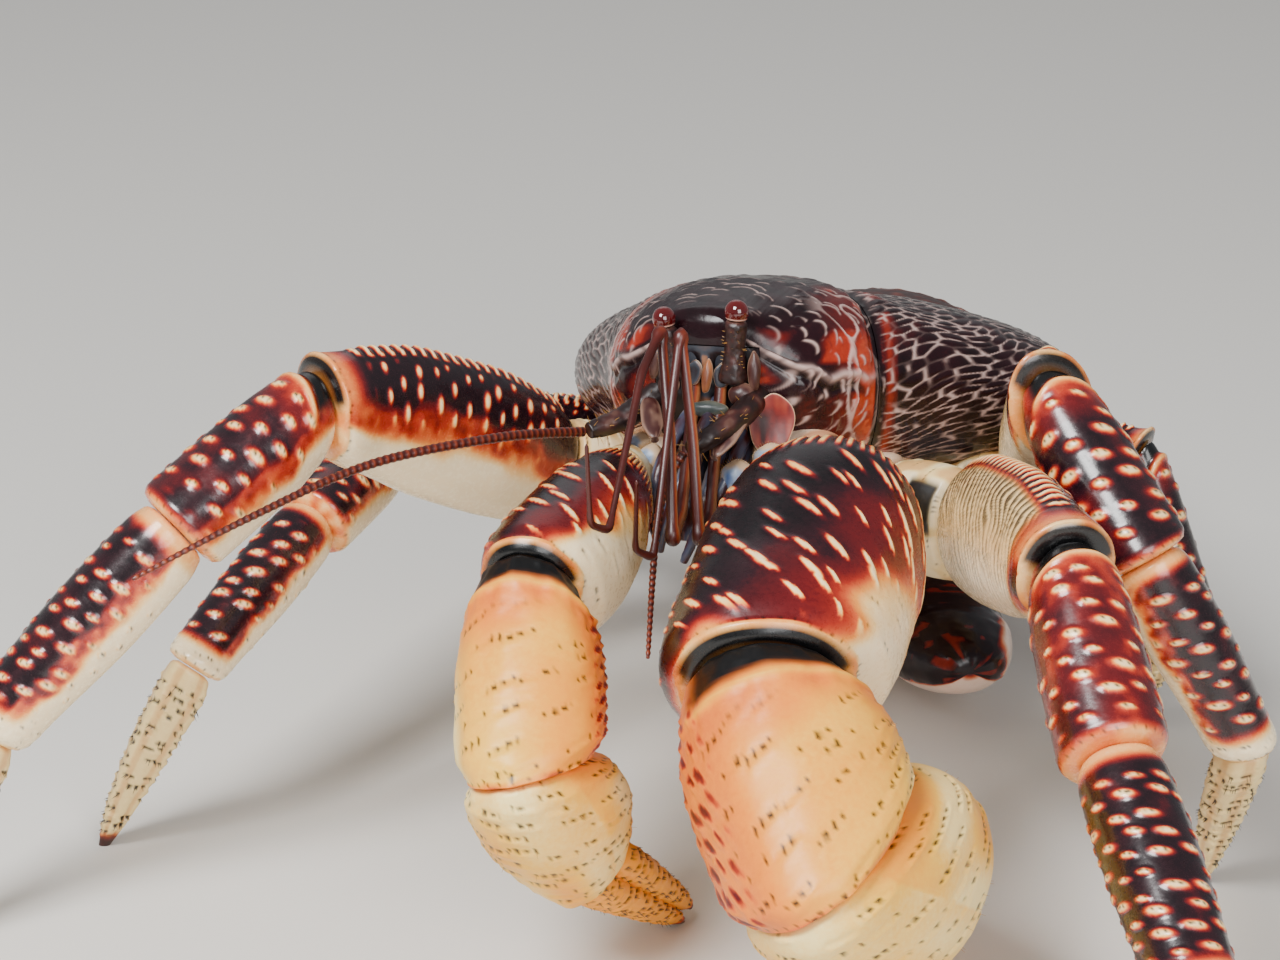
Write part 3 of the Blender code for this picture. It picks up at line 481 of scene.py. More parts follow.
def studs(surface, where, rows, apart, half_s, half_w, seed, height=0.5, tone=0.9, slant=18.0, pits=2,
          jitter=0.32, ring_tone=0.38, edge_drop=0.22):
    """Raised pale ellipses with an orange rim in a red ring and dark pits along their lower edge."""
    away, x, y, chance = cells(surface, rows, apart, half_s, half_w, seed, slant, jitter)
    where = where * (chance > 0.06)
    inside = ease(1.15, 0.75, away) * where
    ring = ease(1.75, 1.05, away) * where
    surface.rise += height * np.sqrt(np.clip(1 - (away / 1.25) ** 2, 0, 1)) * where
    surface.lighten(mix(surface.tone, ring_tone, ring))
    surface.paint(tone - edge_drop * ease(0.45, 1.0, away), inside)
    if pits:
        spacing = 2 * half_w / (pits + 0.5)
        offset = np.abs(np.mod(x + spacing * pits / 2, spacing) - spacing / 2)
        near = np.sqrt(offset**2 + (y + half_s * 0.35) ** 2)
        within = np.abs(x) < half_w * 0.85
        surface.pierce(ease(0.5, 0.28, near) * within * where)


def strokes(surface, where, rows, apart, half_s, half_w, tone, seed, slant):
    """Sunken dark dashes with a raised scale behind each."""
    away, x, y, _ = cells(surface, rows, apart, half_s, half_w, seed, slant, 0.4)
    surface.paint(tone, ease(1.15, 0.6, away) * where)
    surface.rise += where * (0.7 * np.exp(-(((y - 1.1) / 0.8) ** 2)) * ease(1.5, 0.8, np.abs(x) / half_w))


def pores(surface, where, rows, apart, dots, step, seed, slant=0.0, radius=0.42, depth=0.25):
    """Short rows of dark bristle pits in a smooth shell, each row in a shallow crease."""
    half = dots * step / 2
    _, x, y, chance = cells(surface, rows, apart, 1.0, half, seed, slant, jitter=0.55)
    where = where * (chance > 0.15)
    offset = np.abs(np.mod(x, step) - step / 2)
    near = np.sqrt(offset**2 + (y * 1.25) ** 2)
    kept = scatter(np.floor(x / step), np.floor(chance * 97), seed + 2) > 0.25
    surface.pierce(ease(radius * 1.15, radius * 0.6, near) * (np.abs(x) < half) * where * kept)
    crease = np.exp(-((y / 0.7) ** 2)) * ease(half * 1.25, half * 0.9, np.abs(x))
    swelling = np.exp(-(((y - 1.1) / 0.8) ** 2)) * ease(half * 1.3, half * 0.8, np.abs(x))
    surface.rise -= depth * crease * where
    surface.rise += depth * 0.9 * swelling * where


def stripes(surface, where, pitch):
    """Fine wavy dark stripes on a pale shell, broken here and there, each on a low ridge."""
    bend = wander(surface.angle * 2.5, surface.s / 8, 27) * pitch * 1.6
    wave = np.cos(math.tau * (surface.s + bend + 7.0 * surface.up) / pitch)
    broken = ease(0.15, 0.5, surface.noise(3.5, 3.5, 28))
    surface.rise += 0.22 * wave * where
    top = ease(-0.2, 0.75, surface.up)
    dark = ease(0.45 - 1.1 * top, 1.0 - 0.9 * top, wave) * (0.66 + 0.24 * top)
    surface.pierce(dark * mix(broken, 1.0, top) * where)


def rounded_ends(surface, radius, ends=(True, True)):
    """Draws both rims in on a quarter circle."""
    for near, use in ((surface.s, ends[0]), (surface.length - surface.s, ends[1])):
        if use:
            left = np.clip(1 - near / radius, 0, 1)
            surface.rise -= radius * (1 - np.sqrt(np.clip(1 - left**2, 0, 1)))


def joint_film(surface, reach, spread=0.55):
    """The black springy skin over the top of a joint, sunk below the collar before it."""
    top = ease(spread - 0.45, spread, surface.up)
    band = ease(reach * 1.15, reach * 0.75, surface.s - 1.8 * surface.side**2) * top
    surface.cover(band)
    surface.rise -= 0.9 * band
    lip = np.exp(-(((surface.s - reach * 1.25 - 1.8 * surface.side**2) / 0.8) ** 2)) * top
    surface.rise += 0.5 * lip
    surface.paint(0.9, lip * 0.8)


def collar(surface, width, tone=0.95, height=0.3, film=0.0):
    """The pale rim near the far end of a segment, with dark dots before it and joint skin after it."""
    top = ease(-0.1, 0.35, surface.up)
    from_end = surface.length - surface.s - film * top
    width = width * (0.7 + 0.5 * wander(surface.angle * 2.2, surface.s * 0, 151))
    band = ease(width, width * 0.6, from_end)
    surface.paint(tone - 0.25 * wander(surface.angle * 3.1, surface.s / 3, 153), band)
    surface.rise += height * np.exp(-(((from_end - width * 0.45) / (width * 0.35)) ** 2))
    if film:
        skin = ease(0.1, -0.3, from_end) * top
        surface.cover(skin)
        surface.rise -= 0.35 * skin
    count = np.maximum(6, np.round(surface.around / 3.1))
    offset = np.abs(np.mod(surface.angle / math.tau * count, 1.0) - 0.5) * surface.around / count
    near = np.sqrt(offset**2 + (from_end - width * 0.95) ** 2)
    surface.pierce(0.8 * ease(0.45, 0.25, near))


# Patterns of the limbs.


def leg_zones(surface, dark_above, red_above, seed):
    """Dark on top, then red and orange, and cream underneath."""
    edge = 0.25 * (surface.noise(6, 2, seed) - 0.5)
    height = surface.up + edge
    tone = mix(0.04, 0.40, ease(dark_above + 0.14, dark_above - 0.12, height))
    tone = mix(tone, 0.97, ease(red_above + 0.12, red_above - 0.22, height))
    return tone


def ischium_pattern(surface, look):
    surface.tone[:] = 0.93
    blotch = ease(0.55, 0.8, wander(surface.s / 7 + 3, surface.angle * 2.2, 21))
    surface.paint(0.66, blotch * 0.8)
    patch = span(surface.t, 0.50, 0.58, 0.92, 1.02) * ease(0.15, 0.35, surface.side)
    patch = patch * span(surface.up, -0.15, 0.05, 0.8, 0.92)
    surface.cover(patch)
    surface.rise -= 0.6 * patch
    pores(surface, 1.0, **PITS["ischium"])


def crest(surface, where):
    """A low toothed crest along the top of a segment, its teeth cream on dark."""
    from_top = surface.angle - math.pi / 2
    line = np.exp(-((from_top / 0.24) ** 2)) * where
    tooth = ease(-0.1, 0.6, np.cos(math.tau * (surface.s + 2.2 * np.abs(from_top)) / CREST_PITCH))
    surface.rise += line * (0.7 + 0.8 * tooth)
    surface.paint(mix(0.07, 0.93, tooth), ease(0.12, 0.4, line))


def fine_mottle(surface, amount, size):
    """Small pale and red flecks where the pigment thins out."""
    between = span(surface.tone, 0.2, 0.36, 0.6, 0.8)
    flecks = wander(surface.s / size, surface.angle / math.tau * surface.around / size, 55) - 0.5
    surface.tone = surface.tone + amount * flecks * between


def merus_pattern(surface, look):
    surface.tone = leg_zones(surface, look["dark"], look["red"], 2)
    fine_mottle(surface, amount=0.2, size=2.2)
    spots = ease(look["dark"] - 0.35, look["dark"] - 0.1, surface.up) * ease(0.95, 0.88, surface.up)
    spots = spots * span(surface.t, 0.06, 0.12, 0.8, 0.88)
    inner = ease(0.15, 0.5, surface.side) * look.get("wavy", 0.0) * ease(0.97, 0.85, surface.t)
    studs(surface, spots * (1 - inner), **STUDS["merus"])
    surface.paint(0.86 + 0.14 * ease(0.2, -0.5, surface.up), inner)
    stripes(surface, inner * ease(-0.75, -0.2, surface.up), 3.0)
    distal = ease(0.86, 0.96, surface.t)
    surface.paint(0.60, distal * ease(-0.2, 0.4, surface.up))
    crest(surface, span(surface.t, 0.02, 0.08, 0.82, 0.92))
    collar(surface, 1.7, tone=0.84, height=0.45, film=0.9)


def carpus_pattern(surface, look):
    surface.tone = leg_zones(surface, look["dark"], look["red"], 3)
    patches = surface.noise(5, 2.4, 62 + look["seed"])
    base = look.get("base", 0.06) + 0.22 * (patches - 0.4)
    surface.lighten(base)
    near_knee = ease(0.5, 0.1, surface.t) * ease(-0.5, 0.2, surface.up)
    surface.lighten(0.40 * near_knee)
    fine_mottle(surface, amount=0.2, size=2.2)
    where = ease(look["red"] - 0.2, look["red"] + 0.1, surface.up) * ease(6.5, 9, surface.s)
    where = where * ease(0.93, 0.88, surface.t)
    studs(surface, where, seed=11 + look["seed"], slant=look["slant"], **STUDS["carpus"])
    joint_film(surface, reach=4.8)
    neck = ease(0.93, 0.99, surface.t)
    surface.paint(0.62, neck)
    collar(surface, 1.5, tone=0.8, height=0.35)


def propodus_pattern(surface, look):
    surface.tone = leg_zones(surface, look["dark"], look["red"], 6)
    patches = surface.noise(6, 2.2, 66 + look["seed"])
    surface.lighten(0.05 + 0.25 * (patches - 0.5))
    fine_mottle(surface, amount=0.35, size=1.8)
    where = ease(look["red"] - 0.2, look["red"] + 0.1, surface.up)
    where = where * span(surface.t, 0.10, 0.17, 0.82, 0.86)
    studs(surface, where, seed=17 + look["seed"], slant=look["slant"], **STUDS["propodus"])
    spots = ease(look["red"] + 0.05, look["red"] - 0.1, surface.up) * ease(-0.75, -0.6, surface.up)
    spots = spots * span(surface.t, 0.2, 0.3, 0.8, 0.85)
    studs(surface, spots, seed=19 + look["seed"], **STUDS["propodus_side"])
    neck = ease(0.11, 0.04, surface.t)
    surface.paint(0.74, neck)
    end = ease(0.82, 0.92, surface.t)
    surface.paint(0.97, end)
    pores(surface, end * ease(0.97, 0.93, surface.t), **PITS["propodus"])
    collar(surface, 1.5, tone=0.9)


def dactyl_pattern(surface, look):
    surface.tone[:] = 0.84
    grooves = np.cos(surface.angle * 6)
    surface.rise += 0.3 * grooves * span(surface.t, 0.0, 0.1, 0.85, 1.0)
    surface.paint(0.62, ease(0.0, -0.9, grooves) * 0.5)
    tip = ease(0.9, 0.97, surface.t)
    pores(surface, ease(0.05, 0.1, surface.t) * (1 - tip), **PITS["dactyl"])
    surface.paint(0.05, tip)


def claw_merus_pattern(surface, look):
    edge = 0.34 * (surface.noise(9, 2, 61) - 0.5)
    inner = -surface.side * look["pale_side"]
    ripe = 0.85 * surface.t + inner - 0.2 * surface.up + edge
    surface.tone = mix(0.01, 0.29, ease(0.14, 0.68, ripe))
    pale = ease(0.64, 1.08, ripe)
    surface.paint(0.96, pale)
    end = ease(0.88, 0.99, surface.t + 0.3 * edge)
    surface.lighten(0.74 * end)
    dark = (1 - ease(0.5, 0.9, pale)) * ease(0.95, 0.86, surface.t)
    comb = ease(-0.2, 0.4, np.cos(surface.angle * 52 + 3 * surface.t)) * ease(0.17, 0.12, surface.t)
    upper = ease(-0.45, 0.0, surface.up)
    surface.paint(0.84, comb * upper * ease(0.0, 0.03, surface.t))
    surface.rise += 0.5 * comb * upper
    shade = 0.80 + 0.14 * ease(0.1, 0.5, ripe)
    dark = dark * ease(0.13, 0.18, surface.t)
    studs(surface, dark, tone=shade, slant=look["slant"], **STUDS["claw_merus"])
    pores(surface, pale, **PITS["claw_merus"])
    collar(surface, 1.7, tone=0.80, height=0.8, film=1.8)


def claw_carpus_pattern(surface, look):
    swell = surface.noise(7, 3, 74) - 0.5
    surface.tone = 0.85 + 0.2 * (surface.noise(14, 1.5, 71) - 0.5)
    margin = surface.side * look["scale_way"]
    surface.tone = surface.tone + 0.10 * ease(0.3, 0.9, surface.t) * ease(0.6, -0.6, margin)
    warm = ease(0.46, 0.12, surface.t + 0.14 * swell) * ease(-0.3, 0.4, surface.up)
    surface.paint(0.61, warm)
    surface.paint(0.60, ease(0.55, 0.95, margin) * 0.8)
    scales = ease(look["scale_side"] - 0.05, look["scale_side"] + 0.05, margin)
    scales = scales * span(surface.t, 0.10, 0.16, 0.92, 0.98)
    strokes(surface, scales, slant=38 * look["scale_way"], **CARPUS_SCALES)
    surface.rise += 0.8 * swell
    wrinkles = ease(0.34, 0.2, surface.t) * ease(-0.2, 0.4, surface.up)
    surface.rise += 0.6 * wrinkles * surface.noise(1.6, 7, 76)
    pores(surface, (1 - scales) * (1 - wrinkles), **PITS["claw_carpus"])
    joint_film(surface, reach=5.6, spread=0.35)
    collar(surface, 1.8, tone=0.76, height=0.5)


def palm_pattern(surface, look):
    surface.tone = 0.92 + 0.24 * (surface.noise(16, 1.5, 81) - 0.5)
    surface.paint(0.74, ease(0.3, 0.02, surface.t) * ease(-0.4, 0.4, surface.up))
    surface.rise += 0.7 * (surface.noise(8, 3, 82) - 0.5)
    pores(surface, 1.0, rows=look["rows"], **PITS["palm"])


def finger_pattern(surface, look):
    surface.tone[:] = 0.80
    pores(surface, ease(0.98, 0.9, surface.t), **PITS["finger"])
    surface.paint(0.05, ease(0.9, 0.99, surface.t))


PATTERNS = {
    "ischium": ischium_pattern,
    "merus": merus_pattern,
    "carpus": carpus_pattern,
    "propodus": propodus_pattern,
    "dactyl": dactyl_pattern,
    "hand": dactyl_pattern,
}
CLAW_PATTERNS = {
    "ischium": ischium_pattern,
    "merus": claw_merus_pattern,
    "carpus": claw_carpus_pattern,
    "palm": palm_pattern,
    "finger": finger_pattern,
}
# How high the dark and the red reach on a leg, seed, slant of the knobs and more.
LOOKS = {
    "leg_1_left": {"dark": -0.45, "red": -0.75, "seed": 1, "wavy": 1.0, "slant": 16, "base": 0.22},
    "leg_2_left": {"dark": -0.3, "red": -0.6, "seed": 2, "wavy": 1.0, "slant": 16},
    "leg_3_left": {"dark": -0.1, "red": -0.4, "seed": 3, "slant": 16},
    "leg_1_right": {"dark": 0.3, "red": -0.05, "seed": 4, "slant": -14, "base": 0.09},
    "leg_2_right": {"dark": 0.35, "red": 0.1, "seed": 5, "slant": -20},
    "leg_3_right": {"dark": 0.0, "red": -0.3, "seed": 6, "slant": -16},
    "claw_left": {"pale_side": 0.42, "slant": -50, "scale_side": 0.95, "scale_way": 1, "rows": 6.2},
    "claw_right": {"pale_side": 0.62, "slant": -58, "scale_side": 0.86, "scale_way": -1, "rows": 4.0},
}


# Making meshes.


def body_matrix():
    roll = Matrix.Rotation(math.radians(-LEFT_SIDE_UP), 4, "Y")
    pitch = Matrix.Rotation(math.radians(-HEAD_UP), 4, "X")
    return Matrix.Translation(Vector(EYES_MIDDLE)) @ roll @ pitch


BODY_PLACE = body_matrix()
BODY_TURN = np.array(BODY_PLACE)


def on_body(x, y, z):
    return BODY_PLACE @ Vector((x, y, z))


def arrays_on_body(x, y, z):
    return np.stack([x, y, z], axis=-1) @ BODY_TURN[:3, :3].T + BODY_TURN[:3, 3]


def mesh_of(name, bm):
    """A new mesh of the bmesh, which is freed."""
    mesh = bpy.data.meshes.new(name)
    bm.to_mesh(mesh)
    bm.free()
    return mesh


def add_object(name, data):
    """Puts an object of the mesh, lamp or camera in the scene, at the origin."""
    made = bpy.data.objects.new(name, data)
    bpy.context.scene.collection.objects.link(made)
    return made


def finished_mesh(made):
    """The mesh of an object with its modifiers on it."""
    bpy.context.view_layer.update()
    graph = bpy.context.evaluated_depsgraph_get()
    return bpy.data.meshes.new_from_object(made.evaluated_get(graph))


def thicken(made, thickness):
    """Gives a sheet its thickness, half to each side."""
    solidify = made.modifiers.new("Thickness", "SOLIDIFY")
    solidify.thickness = thickness * MM
    solidify.offset = 0
    made.data = finished_mesh(made)
    made.modifiers.clear()


def closed_loft(name, points, values=None):
    """A closed skin through points, rings by sides by 3, from a grid whose edges are merged.

    The first and last rings are closed to a point in their middle. values are arrays of
    rings by sides that become attributes of the same names.
    """
    rings, sides = points.shape[:2]
    bm = bmesh.new()
    bmesh.ops.create_grid(bm, x_segments=sides, y_segments=rings + 1, size=1.0)
    mesh = mesh_of(name, bm)
    at = np.empty(len(mesh.vertices) * 3)
    mesh.vertices.foreach_get("co", at)
    at = at.reshape(-1, 3)
    turn = np.mod(np.round((at[:, 0] + 1) / 2 * sides).astype(int), sides)
    row = np.round((at[:, 1] + 1) / 2 * (rings + 1)).astype(int)
    ring = np.clip(row - 1, 0, rings - 1)
    placed = points[ring, turn]
    for end, last in ((0, 0), (rings + 1, rings - 1)):
        placed[row == end] = points[last].mean(axis=0)
    mesh.vertices.foreach_set("co", (placed * MM).ravel())
    for key, value in (values or {}).items():
        write_attribute(mesh, key, np.clip(value, 0, 1)[ring, turn])
    bm = bmesh.new()
    bm.from_mesh(mesh)
    bmesh.ops.remove_doubles(bm, verts=bm.verts, dist=MERGE)
    bm.to_mesh(mesh)
    bm.free()
    return mesh


def shown(name, mesh, finish, nodes):
    """Makes an object of the mesh, faces outward, that rides on the crab and stands for its nodes."""
    made = add_object(name, mesh)
    bm = bmesh.new()
    bm.from_mesh(mesh)
    bmesh.ops.recalc_face_normals(bm, faces=bm.faces)
    if bm.calc_volume(signed=True) < 0:
        bmesh.ops.reverse_faces(bm, faces=bm.faces)
    bm.to_mesh(mesh)
    bm.free()
    mesh.materials.clear()
    mesh.materials.append(finish)
    mesh.shade_smooth()
    mesh.set_sharp_from_angle(angle=math.radians(SHARP_ANGLE))
    if nodes:
        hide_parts(*nodes)
    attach(made, BODY)
    return made


def write_attribute(mesh, name, values):
    layer = mesh.attributes.new(name, "FLOAT", "POINT")
    layer.data.foreach_set("value", np.ascontiguousarray(values, np.float32))


def pigments(surface):
    return {name: getattr(surface, name) for name in ("tone", "pit", "film")}


class Segment:
    """A length of limb between two planes, each shared with its neighbour."""

    def __init__(self, start, end, start_plane, end_plane, profile, size=1.0, side=None,
                 squareness=2.2, on_floor=False):
        self.start = start
        self.end = end
        self.along = (end - start).normalized()
        self.start_plane = start_plane or self.along
        self.end_plane = end_plane or self.along
        flat = Vector((self.along.y, -self.along.x, 0))
        self.side = (side or flat).normalized()
        self.up = self.side.cross(self.along).normalized()
        if self.up.z < 0:
            self.up = -self.up
        self.profile = profile
        self.size = size
        self.squareness = squareness
        self.on_floor = on_floor

    def surface(self, pitch, pattern=None, look=None):
        """Rings by sides about one pitch apart, with the pattern laid on them."""
        length = (self.end - self.start).length
        t_rings = np.linspace(0, 1, max(8, round(length / pitch)))
        half_width, half_height, lift = (value * self.size for value in fine(self.profile, t_rings))
        girth = math.pi * (half_width + half_height)
        sides = int(max(16, 4 * round(girth.max() / pitch / 4)))
        angle = np.arange(sides) / sides * math.tau
        ones = np.ones(sides)
        surface = Surface(
            np.outer(t_rings * length, ones), np.outer(np.ones(len(t_rings)), angle),
            np.outer(girth, ones), length,
        )
        if pattern:
            pattern(surface, look or {})
        rounded_ends(surface, min(1.6, 2.2 * self.size), (True, not self.on_floor))
        return surface, half_width, half_height, lift

    def points(self, surface, half_width, half_height, lift):
        side = np.array(self.side)
        up = np.array(self.up)
        along = np.array(self.along)
        wide = (half_width[:, None] + surface.rise) * squared(surface.side, self.squareness)
        tall = (half_height[:, None] + surface.rise) * squared(surface.up, self.squareness) + lift[:, None]
        offset = wide[..., None] * side + tall[..., None] * up
        ends = []
        end_clear = 0 if self.on_floor else -GAP / 2
        for plane, clear in ((self.start_plane, GAP / 2), (self.end_plane, end_clear)):
            across = self.along.dot(plane)
            ends.append((clear - offset @ np.array(plane)) / across)
        t = surface.t
        centre = np.array(self.start) + t[..., None] * np.array(self.end - self.start)
        return centre + offset + ((1 - t) * ends[0] + t * ends[1])[..., None] * along

    def mesh(self, name, pitch, pattern=None, look=None):
        surface, *sizes = self.surface(pitch, pattern, look)
        points = self.points(surface, *sizes)
        self.skin = (points, surface)
        return closed_loft(name, points, pigments(surface))

    def bristles(self, share, length, seed, low=0.0, high=1.0):
        """(root, way, length) of bristles that stand in the pits of the last mesh, leaning outward."""
        points, surface = self.skin
        chance = scatter(np.arange(points.shape[0])[:, None], np.arange(points.shape[1])[None, :], seed)
        chosen = (surface.pit > 0.8) * (chance < share) * (surface.t > low) * (surface.t < high)
        axis = np.array(self.along)
        found = []
        for ring, side in np.argwhere(chosen):
            spot = points[ring, side]
            from_axis = spot - np.array(self.start)
            outward = Vector(from_axis - axis * from_axis.dot(axis)).normalized()
            way = (outward * 0.8 + self.along * 0.7).normalized()
            found.append((Vector(spot), way, length * (0.7 + 0.6 * chance[ring, side] / share)))
        return found


def bristle_mesh(name, bristles, radius):
    """Stiff three-sided bristles, their roots just under the shell."""
    bm = bmesh.new()
    for root, way, length in bristles:
        turn = way.to_track_quat("Z", "Y").to_matrix().to_4x4()
        middle = root + way * (length / 2 - BRISTLE_SUNK)
        bmesh.ops.create_cone(bm, cap_ends=True, segments=3, radius1=radius * MM, radius2=radius * MM * 0.3,
                              depth=length * MM, matrix=Matrix.Translation(middle * MM) @ turn)
    return mesh_of(name, bm)


def show_bristles(name, bristles, radius, finish, code):
    shown(name, bristle_mesh(name, bristles, radius), plain_finish(finish, code, BRISTLE_ROUGHNESS), [])


def direction(side, azimuth, elevation):
    azimuth = math.radians(azimuth)
    elevation = math.radians(elevation)
    flat = math.cos(elevation)
    return Vector((side * math.sin(azimuth) * flat, -math.cos(azimuth) * flat, math.sin(elevation)))


def joints_of(root, segments):
    side = 1 if root[0] > 0 else -1
    points = [on_body(*root)]
    for _, length, azimuth, elevation in segments:
        if elevation is None:
            elevation = -math.degrees(math.asin(min(0.99, points[-1].z / length)))
        points.append(points[-1] + direction(side, azimuth, elevation) * length)
    points[-1].z = 0.0
    return points


def planes_of(points):
    runs = [(b - a).normalized() for a, b in zip(points, points[1:])]
    return [(a + b).normalized() for a, b in zip(runs, runs[1:])]


def narrowed(stations, factor):
    return tuple((t, wide * factor, tall, lift) for t, wide, tall, lift in stations)


class Limb:
    def __init__(self, name, root, lengths, profiles):
        self.name = name
        self.size = SEGMENT_SIZE[name]
        self.points = joints_of(root, lengths)
        self.names = [length[0] for length in lengths]
        self.profiles = profiles
        inner = on_body(root[0] * COXA_INSET, root[1], COXA_START)
        planes = planes_of([inner] + self.points)
        self.coxa = Segment(inner, self.points[0], None, planes[0], profiles["coxa"], self.size)
        self.segments = []
        for index, part in enumerate(self.names):
            last = index == len(self.names) - 1
            self.segments.append(Segment(
                self.points[index], self.points[index + 1], planes[index],
                FLOOR if last else planes[index + 1], profiles.get(part, LEG_PROFILES["hand"]),
                self.size, on_floor=last,
            ))


def leg_limb(name):
    return Limb(name, *LEGS[name], LEG_PROFILES)


def claw_limb(name):
    profiles = dict(CLAW_PROFILES)
    if name == "claw_right":
        profiles["palm"] = profiles["slim_palm"]
        for part in ("ischium", "merus"):
            profiles[part] = narrowed(profiles[part], CLAW_RIGHT_ARM_WIDTH)
    else:
        profiles["merus"] = profiles["broad_merus"]
    return Limb(name, *CLAWS[name], profiles)


def joined(name, meshes):
    """One mesh of several, with their attributes."""
    bm = bmesh.new()
    for mesh in meshes:
        bm.from_mesh(mesh)
    return mesh_of(name, bm)


# Materials.


def linear(code):
    """An sRGB hex colour as linear light."""
    parts = [int(code[index:index + 2], 16) / 255 for index in (1, 3, 5)]
    return [part / 12.92 if part <= 0.04045 else ((part + 0.055) / 1.055) ** 2.4 for part in parts] + [1.0]


def set_values(node, values):
    for key, value in values.items():
        node.inputs[key].default_value = value


def add_node(tree, kind, settings=None, links=None, values=None, stops=()):
    """Adds a node: settings are its properties, links and values its inputs, stops a ramp's colours."""
    node = tree.nodes.new(kind)
    for key, value in (settings or {}).items():
        setattr(node, key, value)
    set_values(node, values or {})
    for key, output in (links or {}).items():
        tree.links.new(output, node.inputs[key])
    for index, (position, code) in enumerate(stops):
        elements = node.color_ramp.elements
        if not index:
            elements.remove(elements[-1])
            elements[0].position = position
        element = elements.new(position) if index else elements[0]
        element.color = linear(code)
    return node


def new_material(name):
    """(material, its node tree, its shader)."""
    made = bpy.data.materials.new(name)
    made.use_nodes = True
    return made, made.node_tree, made.node_tree.nodes["Principled BSDF"]


def shell_finish(name, stops, roughness=0.3, pit="#0B0604", film="#060607", grain=0.05, coat=0.0,
                 shine=0.5):
    """Calcified crab shell: glossy pigment seen through a clear horny layer.

    The attributes tone, pit and film give the pigment's place on the ramp, the bristle
    pits and the joint skin. Fine mottling breaks up both colour and gloss.
    """
    made, tree, shader = new_material(name)
    place = add_node(tree, "ShaderNodeTexCoord").outputs["Object"]
    tone, pits, films = (add_node(tree, "ShaderNodeAttribute", {"attribute_name": key}).outputs["Fac"]
                         for key in ("tone", "pit", "film"))
    mottle = add_node(tree, "ShaderNodeTexNoise", links={"Vector": place},
                      values={"Scale": MOTTLE_SCALE, "Detail": 4.0, "Roughness": 0.6}).outputs["Fac"]
    shift = add_node(tree, "ShaderNodeMath", {"operation": "MULTIPLY_ADD"}, {0: mottle},
                     {1: grain * 2, 2: -grain}).outputs[0]
    moved = add_node(tree, "ShaderNodeMath", {"operation": "ADD", "use_clamp": True}, {0: tone, 1: shift})
    colour = add_node(tree, "ShaderNodeValToRGB", links={"Fac": moved.outputs[0]},
                      stops=stops).outputs["Color"]
    for share, code in ((pits, pit), (films, film)):
        colour = add_node(tree, "ShaderNodeMix", {"data_type": "RGBA"}, {0: share, 6: colour},
                          {7: linear(code)}).outputs[2]
    rough = add_node(tree, "ShaderNodeMapRange", links={"Value": mottle},
                     values={"To Min": roughness - 0.07, "To Max": roughness + 0.1}).outputs[0]
    bump = add_node(tree, "ShaderNodeBump", links={"Height": mottle},
                    values={"Strength": 0.25, "Distance": 0.15 * MM}).outputs[0]
    for key, output in (("Base Color", colour), ("Roughness", rough), ("Normal", bump)):
        tree.links.new(output, shader.inputs[key])
    set_values(shader, {"IOR": SHELL_IOR, "Specular IOR Level": shine, "Coat Weight": coat,
                        "Coat Roughness": 0.12})
    return made


